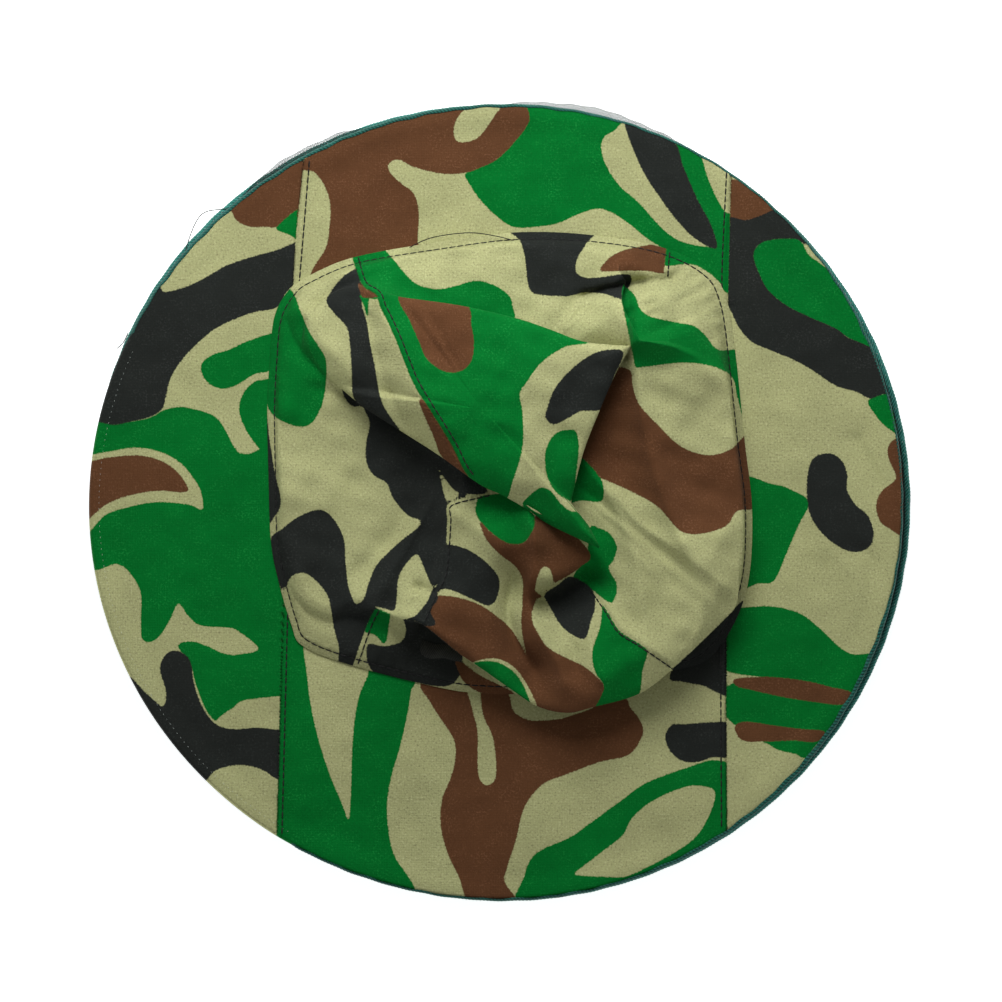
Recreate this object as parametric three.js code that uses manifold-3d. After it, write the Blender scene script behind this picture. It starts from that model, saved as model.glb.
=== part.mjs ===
// A soft camouflage hat with a hooped net veil, lying flat with its veil collapsed under the brim.
// Millimetres, +Z up, the wearer faces -Y. The floor is z = 0.
import * as THREE from 'three';
import { mergeVertices } from 'three/addons/utils/BufferGeometryUtils.js';
import Module from 'manifold-3d';

const wasm = await Module();
wasm.setup();

// Driving dimensions
// The outer edge of each hoop's tape: an oval ring, wider by oval along the direction turn,
// slightly three-sided, and lying a little off the origin.
const BRIM_HOOP = { radius: 167.9, oval: 1.9, turn: 6, skewCos: -0.8, skewSin: -0.25, x: -0.8, y: -1.2 };
const VEIL_HOOP = { radius: 168.6, oval: 2.35, turn: -7, skewCos: 0, skewSin: 0.15, x: 0.4, y: -1.0 };
const ORIGIN = new THREE.Vector2(0, 0);
const CROWN_CENTER = new THREE.Vector2(4, 16);
const CROWN_HALF_WIDTH = 100.5;
const CROWN_HALF_DEPTH = 95.5;
const CROWN_SQUARENESS = 2.7;   // exponent of the rounded square
const CROWN_HEIGHT = 32;        // the crumpled crown's height above the brim
const LEFT_SEAM_X = -62;        // seams between the crown's three panels
const RIGHT_SEAM_X = 70;
const BRIM_LEFT_SEAM_X = -88;   // seams between the brim's four panels
const BRIM_RIGHT_SEAM_X = 94.6;
const CLOTH = 1.6;              // a doubled and hemmed layer of cotton
const GAP = 0.3;                // clearance between neighbouring solids
const TAPE = 0.8;               // binding tape thickness
const TAPE_WIDTH = 6;           // how far the folded tape reaches in from the edge
const WIRE_RADIUS = 0.9;
const SLEEVE_BORE = 1.12;       // inner and outer radius of the sleeve over the wire's ends
const SLEEVE_RADIUS = 1.45;
const NECK_RADIUS = 86;         // the gathered neck opening

// Heights above the floor
const BINDING_HEIGHT = 4.8;
const NET_BOTTOM = BINDING_HEIGHT + GAP;
const NET_TOP = 11;
const BRIM_BINDING_BOTTOM = NET_TOP + GAP;
const BRIM_BINDING_TOP = BRIM_BINDING_BOTTOM + BINDING_HEIGHT;
const BRIM_MIDDLE = (BRIM_BINDING_BOTTOM + BRIM_BINDING_TOP) / 2;
const BRIM_BOTTOM = BRIM_MIDDLE - CLOTH / 2;
const CROWN_BOTTOM = BRIM_MIDDLE + CLOTH / 2 + GAP;

const RIM_STEPS = 90;           // divisions round the rim
const CROWN_STEPS = 56;
const NECK_STEPS = 60;
const CROWN_LEVELS = 7;
const LIFT_POWER = 0.8;         // how the crown's dome rises and closes in, level by level
const SPREAD_POWER = 0.55;
const SECTION_SIDES = 8;

function cloth(color) {
  return new THREE.MeshStandardMaterial({ color, roughness: 0.92, metalness: 0 });
}

const camoCloth = cloth(0x8f9468);
const tealTape = cloth(0x1f6557);
const blackNet = cloth(0x101211);
const steelWire = new THREE.MeshStandardMaterial({ color: 0xa8acb0, roughness: 0.35, metalness: 0.9 });
const bandCloth = cloth(0x24261f);

const group = new THREE.Group();

function addPiece(name, geometry, material) {
  const mesh = new THREE.Mesh(geometry, material.clone());
  mesh.name = name;
  group.add(mesh);
}

// A hoop's outline as a radius about the origin at an angle.
function hoopRadius(hoop, angle) {
  const turn = THREE.MathUtils.degToRad(hoop.turn);
  return hoop.radius + hoop.x * Math.cos(angle) + hoop.y * Math.sin(angle)
    + hoop.oval * Math.cos(2 * (angle - turn))
    + hoop.skewCos * Math.cos(3 * angle) + hoop.skewSin * Math.sin(3 * angle);
}

const brimRim = (angle) => hoopRadius(BRIM_HOOP, angle);
const veilRim = (angle) => hoopRadius(VEIL_HOOP, angle);

// The neck opening: a circle about the lower hoop's middle.
function neckRadius(angle) {
  return NECK_RADIUS + VEIL_HOOP.x * Math.cos(angle) + VEIL_HOOP.y * Math.sin(angle);
}

// The crown base's radius at an angle about the crown's centre: a rounded square.
function crownRadius(angle) {
  const across = Math.abs(Math.cos(angle) / CROWN_HALF_WIDTH) ** CROWN_SQUARENESS;
  const along = Math.abs(Math.sin(angle) / CROWN_HALF_DEPTH) ** CROWN_SQUARENESS;
  return (across + along) ** (-1 / CROWN_SQUARENESS);
}

// A closed ring swept round an upright axis. The section is a closed loop of points, counter-
// clockwise. Each is [radial, z, base]: radial is added to base(angle), or to baseRadius(angle)
// where the point names no base of its own.
function ringGeometry(section, baseRadius, center = ORIGIN, steps = RIM_STEPS) {
  const points = [];
  for (let i = 0; i < steps; i++) {
    const angle = (i / steps) * 2 * Math.PI;
    for (const [radial, z, base = baseRadius] of section) {
      const radius = base(angle) + radial;
      points.push(center.x + radius * Math.cos(angle), center.y + radius * Math.sin(angle), z);
    }
  }
  const count = section.length;
  const faces = [];
  for (let i = 0; i < steps; i++) {
    for (let j = 0; j < count; j++) {
      const a = i * count + j;
      const b = i * count + (j + 1) % count;
      const c = ((i + 1) % steps) * count + j;
      const d = ((i + 1) % steps) * count + (j + 1) % count;
      faces.push(a, c, b, b, c, d);
    }
  }
  const geometry = new THREE.BufferGeometry();
  geometry.setAttribute('position', new THREE.Float32BufferAttribute(points, 3));
  geometry.setIndex(faces);
  geometry.computeVertexNormals();
  return geometry;
}

function toManifold(geometry) {
  const bare = geometry.clone();
  bare.deleteAttribute('normal');
  bare.deleteAttribute('uv');
  const merged = mergeVertices(bare, 1e-4);
  return new wasm.Manifold(new wasm.Mesh({
    numProp: 3,
    vertProperties: new Float32Array(merged.attributes.position.array),
    triVerts: new Uint32Array(merged.index.array),
  }));
}

function fromManifold(solid) {
  const { vertProperties, triVerts } = solid.getMesh();
  const geometry = new THREE.BufferGeometry();
  geometry.setAttribute('position', new THREE.BufferAttribute(vertProperties, 3));
  geometry.setIndex(new THREE.BufferAttribute(triVerts, 1));
  geometry.computeVertexNormals();
  return geometry;
}

// A block between two x planes and two y planes, tall enough to cut any piece of the hat.
function slab(xMin, xMax, yMin, yMax) {
  const box = new THREE.BoxGeometry(xMax - xMin, yMax - yMin, 200);
  box.translate((xMin + xMax) / 2, (yMin + yMax) / 2, 0);
  return toManifold(box);
}

const FAR = 300;

// --- Crown: one domed shell, cut at its two long seams ---

// The dome between the floor of the crown and a height, as stacked rounded-square rings that close
// on a top point. Inset shrinks it evenly, which gives the shell's inner face.
function domeGeometry(inset, bottom, top) {
  const around = CROWN_STEPS;
  const levels = CROWN_LEVELS;
  const points = [];
  for (let level = 0; level < levels; level++) {
    const t = level / levels;
    const lift = Math.sin(t * Math.PI / 2) ** LIFT_POWER;
    const spread = Math.cos(t * Math.PI / 2) ** SPREAD_POWER;
    for (let i = 0; i < around; i++) {
      const angle = (i / around) * 2 * Math.PI;
      const radius = (crownRadius(angle) - inset) * spread;
      points.push(
        CROWN_CENTER.x + radius * Math.cos(angle),
        CROWN_CENTER.y + radius * Math.sin(angle),
        bottom + lift * (top - bottom),
      );
    }
  }
  const topPoint = points.length / 3;
  points.push(CROWN_CENTER.x, CROWN_CENTER.y, top);
  const basePoint = topPoint + 1;
  points.push(CROWN_CENTER.x, CROWN_CENTER.y, bottom);
  const faces = [];
  for (let i = 0; i < around; i++) {
    const next = (i + 1) % around;
    faces.push(basePoint, next, i);
    for (let level = 0; level < levels - 1; level++) {
      const a = level * around + i;
      const b = level * around + next;
      faces.push(a, b, a + around, b, b + around, a + around);
    }
    const last = (levels - 1) * around;
    faces.push(last + i, last + next, topPoint);
  }
  const geometry = new THREE.BufferGeometry();
  geometry.setAttribute('position', new THREE.Float32BufferAttribute(points, 3));
  geometry.setIndex(faces);
  return geometry;
}

function buildCrown() {
  const outer = toManifold(domeGeometry(0, CROWN_BOTTOM, CROWN_BOTTOM + CROWN_HEIGHT));
  const inner = toManifold(domeGeometry(CLOTH, CROWN_BOTTOM - 1, CROWN_BOTTOM + CROWN_HEIGHT - CLOTH));
  const shell = outer.subtract(inner);
  const half = GAP / 2;
  const leftPart = slab(-FAR, LEFT_SEAM_X - half, -FAR, FAR);
  const middlePart = slab(LEFT_SEAM_X + half, RIGHT_SEAM_X - half, -FAR, FAR);
  const rightPart = slab(RIGHT_SEAM_X + half, FAR, -FAR, FAR);
  addPiece('crown_left_panel', fromManifold(shell.intersect(leftPart)), camoCloth);
  addPiece('crown_center_strip', fromManifold(shell.intersect(middlePart)), camoCloth);
  addPiece('crown_right_panel', fromManifold(shell.intersect(rightPart)), camoCloth);
}

// The sweatband stands inside the crown's wall, above the brim's inner edge.
function buildHeadBand() {
  const inset = CLOTH + 7;
  const thickness = 1.2;
  const height = 9;
  const section = [
    [-inset - thickness, CROWN_BOTTOM], [-inset, CROWN_BOTTOM],
    [-inset, CROWN_BOTTOM + height], [-inset - thickness, CROWN_BOTTOM + height],
  ];
  addPiece('head_band', ringGeometry(section, crownRadius, CROWN_CENTER, CROWN_STEPS), bandCloth);
}

// --- Brim: one flat ring of cloth, cut at its four seams ---

function brimRing() {
  const edgeInset = 4.4;
  const outer = [];
  for (let i = 0; i < RIM_STEPS; i++) {
    const angle = (i / RIM_STEPS) * 2 * Math.PI;
    const radius = brimRim(angle) - edgeInset;
    outer.push(new THREE.Vector2(radius * Math.cos(angle), radius * Math.sin(angle)));
  }
  const shape = new THREE.Shape(outer);
  const hole = [];
  const holeInset = 10;
  for (let i = 0; i < CROWN_STEPS; i++) {
    const angle = (i / CROWN_STEPS) * 2 * Math.PI;
    const radius = crownRadius(angle) - holeInset;
    hole.push(new THREE.Vector2(
      CROWN_CENTER.x + radius * Math.cos(angle),
      CROWN_CENTER.y + radius * Math.sin(angle),
    ));
  }
  shape.holes.push(new THREE.Path(hole));
  const geometry = new THREE.ExtrudeGeometry(shape, { depth: CLOTH, bevelEnabled: false });
  geometry.translate(0, 0, BRIM_BOTTOM);
  return toManifold(geometry);
}

function buildBrim() {
  const ring = brimRing();
  const half = GAP / 2;
  const left = BRIM_LEFT_SEAM_X;
  const right = BRIM_RIGHT_SEAM_X;
  const middleY = CROWN_CENTER.y;
  const panels = {
    brim_left_panel: slab(-FAR, left - half, -FAR, FAR),
    brim_right_panel: slab(right + half, FAR, -FAR, FAR),
    brim_back_panel: slab(left + half, right - half, middleY, FAR),
    brim_front_panel: slab(left + half, right - half, -FAR, middleY),
  };
  for (const [name, region] of Object.entries(panels)) {
    addPiece(name, fromManifold(ring.intersect(region)), camoCloth);
  }
}

// --- Hoops: a wire ring open at the back, its ends held in a crimped sleeve ---

// The closed C of folded tape, open inwards. Its ends reach TAPE_WIDTH in from the edge.
function tapeSection(bottom, top, thickness) {
  return [
    [-TAPE_WIDTH, bottom], [0, bottom], [0, top], [-TAPE_WIDTH, top],
    [-TAPE_WIDTH, top - thickness], [-thickness, top - thickness],
    [-thickness, bottom + thickness], [-TAPE_WIDTH, bottom + thickness],
  ];
}

class HoopCurve extends THREE.Curve {
  constructor(rim, inset, z, startAngle, endAngle) {
    super();
    this.rim = rim;
    this.inset = inset;
    this.z = z;
    this.startAngle = startAngle;
    this.endAngle = endAngle;
  }

  getPoint(t, target = new THREE.Vector3()) {
    const angle = this.startAngle + (this.endAngle - this.startAngle) * t;
    const radius = this.rim(angle) - this.inset;
    return target.set(radius * Math.cos(angle), radius * Math.sin(angle), this.z);
  }
}

function circlePoints(radius, sides) {
  const points = [];
  for (let i = 0; i < sides; i++) {
    const angle = (i / sides) * 2 * Math.PI;
    points.push(new THREE.Vector2(radius * Math.cos(angle), radius * Math.sin(angle)));
  }
  return points;
}

function buildHoop(name, rim, z) {
  const inset = 2.4;
  const joinAngle = Math.PI / 2;     // the joint lies at the back
  const wireGap = 0.004;             // radians left open between the wire's ends
  const sleeveHalf = 0.06;           // radians that the sleeve covers to each side
  const wire = new HoopCurve(rim, inset, z, joinAngle + wireGap, joinAngle + 2 * Math.PI - wireGap);
  const wireShape = new THREE.Shape(circlePoints(WIRE_RADIUS, SECTION_SIDES));
  const wireGeometry = new THREE.ExtrudeGeometry(wireShape, { steps: RIM_STEPS, extrudePath: wire });
  addPiece(name, wireGeometry, steelWire);

  const sleeve = new HoopCurve(rim, inset, z, joinAngle - sleeveHalf, joinAngle + sleeveHalf);
  const sleeveShape = new THREE.Shape(circlePoints(SLEEVE_RADIUS, SECTION_SIDES));
  sleeveShape.holes.push(new THREE.Path(circlePoints(SLEEVE_BORE, SECTION_SIDES)));
  const sleeveGeometry = new THREE.ExtrudeGeometry(sleeveShape, { steps: 8, extrudePath: sleeve });
  addPiece(`${name}_joiner`, sleeveGeometry, steelWire);
}

function buildBindings() {
  const brimTape = tapeSection(BRIM_BINDING_BOTTOM, BRIM_BINDING_TOP, TAPE);
  addPiece('brim_binding', ringGeometry(brimTape, brimRim), tealTape);
  const veilTape = tapeSection(0, BINDING_HEIGHT, TAPE);
  addPiece('veil_binding', ringGeometry(veilTape, veilRim), tealTape);
}

// --- Veil: an accordion of net between the two hoops ---

function buildVeilNet() {
  const folds = 5;
  const foldWidth = 16;
  const netSlant = 5;       // the section's width across, which leaves thin sloping walls
  const outerInset = 1;
  const outward = [];
  const inward = [];
  for (let i = 0; i <= folds; i++) {
    const height = i / folds;
    const z = NET_BOTTOM + (NET_TOP - NET_BOTTOM) * height;
    const rim = (angle) => veilRim(angle) * (1 - height) + brimRim(angle) * height;
    const radial = i % 2 === 0 ? -outerInset : -outerInset - foldWidth;
    outward.push([radial, z, rim]);
    inward.unshift([radial - netSlant, z, rim]);
  }
  addPiece('veil_net', ringGeometry([...outward, ...inward], brimRim), blackNet);
}

function buildNeck() {
  const hemHalf = 3;
  const hemTop = 4.4;
  const skirtStart = -TAPE_WIDTH - GAP;
  const skirtEnd = hemHalf + GAP;
  const netDepth = 1;
  const innerZ = 1.2;              // the skirt slopes down a little towards the neck
  const outerZ = 2.2;
  const skirt = [
    [skirtEnd, innerZ, neckRadius], [skirtStart, outerZ], [skirtStart, outerZ + netDepth],
    [skirtEnd, innerZ + netDepth, neckRadius],
  ];
  addPiece('neck_skirt', ringGeometry(skirt, veilRim), blackNet);

  const wall = 0.7;
  const slotBottom = 1.4;          // the hem is open outwards, where it takes in the skirt
  const slotTop = 2.6;
  const hem = [
    [-hemHalf, 0], [hemHalf, 0], [hemHalf, slotBottom], [hemHalf - wall, slotBottom],
    [hemHalf - wall, wall], [-hemHalf + wall, wall], [-hemHalf + wall, hemTop - wall],
    [hemHalf - wall, hemTop - wall], [hemHalf - wall, slotTop], [hemHalf, slotTop],
    [hemHalf, hemTop], [-hemHalf, hemTop],
  ];
  addPiece('neck_hem', ringGeometry(hem, neckRadius, ORIGIN, NECK_STEPS), bandCloth);

  const cordRadius = 1.1;
  const cord = circlePoints(cordRadius, SECTION_SIDES).map((p) => [p.x, p.y + hemTop / 2]);
  addPiece('neck_elastic', ringGeometry(cord, neckRadius, ORIGIN, NECK_STEPS), bandCloth);
}

buildCrown();
buildHeadBand();
buildBrim();
buildBindings();
buildHoop('brim_hoop', brimRim, BRIM_MIDDLE);
buildHoop('veil_hoop', veilRim, BINDING_HEIGHT / 2);
buildVeilNet();
buildNeck();

export default group;
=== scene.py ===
import math

import bpy
import numpy as np
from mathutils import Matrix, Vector
from mathutils.bvhtree import BVHTree


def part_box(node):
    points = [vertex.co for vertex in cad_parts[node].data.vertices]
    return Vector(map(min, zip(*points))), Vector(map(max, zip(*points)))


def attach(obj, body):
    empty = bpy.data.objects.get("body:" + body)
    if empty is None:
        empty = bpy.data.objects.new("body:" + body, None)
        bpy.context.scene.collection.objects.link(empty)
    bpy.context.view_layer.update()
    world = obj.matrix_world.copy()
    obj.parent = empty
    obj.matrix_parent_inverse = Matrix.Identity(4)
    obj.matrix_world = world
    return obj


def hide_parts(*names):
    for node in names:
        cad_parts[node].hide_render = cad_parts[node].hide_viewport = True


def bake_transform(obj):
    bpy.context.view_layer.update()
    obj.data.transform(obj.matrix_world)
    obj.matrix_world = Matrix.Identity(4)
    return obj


# A soft camouflage hat with a hooped net veil, lying flat with the veil collapsed under its brim.
# Lengths are millimetres, apart from the lamps. make_mesh turns them into the metres of the frame.
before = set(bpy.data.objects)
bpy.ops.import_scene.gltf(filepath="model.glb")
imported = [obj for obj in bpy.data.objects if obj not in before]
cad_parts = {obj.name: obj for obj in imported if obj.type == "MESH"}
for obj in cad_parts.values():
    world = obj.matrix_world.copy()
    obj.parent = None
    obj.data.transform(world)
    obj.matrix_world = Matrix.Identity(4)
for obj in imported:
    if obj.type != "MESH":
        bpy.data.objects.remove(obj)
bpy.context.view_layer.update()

MM = 0.001
CROWN_PANELS = ("crown_left_panel", "crown_center_strip", "crown_right_panel")


def node_box(node):
    """A node's lowest and highest corner in millimetres."""
    low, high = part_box(node)
    return np.array(low) / MM, np.array(high) / MM


BRIM_TOP = node_box("brim_back_panel")[1][2]
BRIM_TAPE_LOW = node_box("brim_binding")[0][2]
VEIL_TAPE_HIGH = node_box("veil_binding")[1][2]
NECK_RADIUS = (node_box("neck_elastic")[1][0] - node_box("neck_elastic")[0][0]) / 2 - 1.1

# The outer edge of each hoop's tape, as in the CAD: an oval ring, wider along one direction,
# slightly three-sided, and lying a little off the origin.
BRIM_HOOP = {"radius": 167.9, "oval": 1.9, "turn": 6, "skew": (-0.8, -0.25), "shift": (-0.8, -1.2)}
VEIL_HOOP = {"radius": 168.6, "oval": 2.35, "turn": -7, "skew": (0.0, 0.15), "shift": (0.4, -1.0)}
RIM_STEPS = 1440
TAPE_STEPS = 2400
NET_STEPS = 480
CLOTH_THICKNESS = 0.8
VEIL_FLAT_HEIGHT = 245.0     # the net's height when it is laid out flat
NECK_FLAT_WIDTH = 95.0       # the neck skirt's width when it is laid out flat


def hoop_radius(hoop, angle):
    return (hoop["radius"] + hoop["shift"][0] * np.cos(angle) + hoop["shift"][1] * np.sin(angle)
            + hoop["oval"] * np.cos(2 * (angle - math.radians(hoop["turn"])))
            + hoop["skew"][0] * np.cos(3 * angle) + hoop["skew"][1] * np.sin(3 * angle))


def around_circle(steps):
    return np.linspace(0, 2 * math.pi, steps, endpoint=False)


# ---------------------------------------------------------------- curves seen from above

# The middle of the folded flap on top of the crown. The crown's mesh fans out from it.
FLAP_MIDDLE = np.array([-7.2, 37.5])

# Where the crown is sewn to the brim
BASE = [(-88, 87.5), (-80.5, 93), (-61.5, 101), (-29, 107), (6.5, 111.5), (37.5, 110.5), (68.5, 105),
        (87.5, 95.5), (94.5, 83.5), (98, 62), (102, 24), (105, -3), (104, -30.5), (98.5, -49.5),
        (87.5, -65.5), (72.5, -71), (47, -76.5), (20, -80.5), (-7, -80.5), (-26, -78), (-61.5, -69),
        (-82, -61), (-87, -52), (-92.5, -33), (-95.5, -17), (-96.5, 10.5), (-97, 37.5), (-96, 58),
        (-94, 76.5)]

# The edges of the top flap: over the back strip, over the right side, over the left side
FLAP_BACK_EDGE = [(-61.5, 86), (-51.5, 85), (-40, 84), (-15.5, 80.5), (6.5, 75.5), (20, 71), (33.5, 66),
                  (44.5, 64.5), (54.5, 64)]
FLAP_RIGHT_EDGE = [(54.5, 64), (48.5, 53.5), (41.5, 37.5), (35, 21), (30.5, 3.5), (30, -2.5),
                   (35, -7.5), (42, -20.5)]
FLAP_LEFT_EDGE = [(42, -20.5), (20, -10), (10.5, -3.5), (1, 2), (-8.5, 6.5), (-26, 19), (-42.5, 29.5),
                  (-58.5, 40), (-73, 53.5), (-79, 64.5), (-76.5, 74), (-69.5, 82), (-61.5, 86)]

# The lower folds: the front bulge over the brim, then the right side, the slot under the back strip,
# and the rest, where the cloth runs on with no fold
BULGE_EDGE = [(-52, -45), (-40, -49.5), (-32.5, -51.5), (-18, -63), (-7, -70.5), (5, -79), (16, -86),
              (28, -88.5), (39, -86), (58, -80.5), (72.5, -69.5), (87.5, -55.5), (97, -46)]
SIDE_LINE = [(97, -46), (99, -37), (98, -3), (95, 24), (90, 48), (82, 58), (72, 63)]
SLOT_EDGE = [(58, 66), (54, 74), (51, 81), (51, 86), (52.5, 91)]
BACK_LINE = [(52.5, 91), (44.5, 98), (20, 102), (-7, 101), (-34.5, 98), (-48, 94), (-67, 88),
             (-81, 78)]
LEFT_LINE = [(-81, 78), (-84.5, 53.5), (-87, 24), (-86, -10), (-80.5, -37), (-67, -45), (-52, -45)]

# The crown's long seams, where they show
SEAMS = {
    "high": [(-61.5, 101.5), (-57.5, 89.5), (-51.5, 85), (-49.5, 80), (-46, 73), (-42.5, 65), (-39, 56),
             (-34.5, 46), (-21, 24), (-15.5, 13), (-11.5, 7.5)],
    "low": [(-4.5, 3.5), (-21, -1), (-22, -8.5), (-22.5, -17), (-24, -30.5), (-28, -39), (-32.5, -49.5)],
    "wedge": [(-52, -45), (-55.5, -52), (-61.5, -69)],
    "right_high": [(69, 105.5), (68, 93)],
    "right_low": [(38, -37), (44.5, -46.5), (49.5, -54.5), (58, -60), (72.5, -70)],
    "slot": [(68, 93), (60, 92), (52.4, 91), (50.4, 85), (52.4, 74), (54.4, 64)],
}
BRIM_SEAMS = {
    "left_back": [(-82, 141.5), (-86.5, 87.5)],
    "left_front": [(-90.5, -44), (-93, -141.5)],
    "right_back": [(96.5, 139.5), (94.5, 96.5), (95, 79)],
    "right_front": [(94, -54), (94.5, -144)],
}

# How far to the left of its seam's run each topstitching lies
CROWN_STITCH = {"high": 2.2, "low": 1.6, "wedge": 2.0, "right_high": 1.8, "right_low": -0.6}
BRIM_STITCH = {"left_back": 2.6, "left_front": 2.1, "right_back": -2.0, "right_front": -2.2}

# ---------------------------------------------------------------- the print

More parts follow.
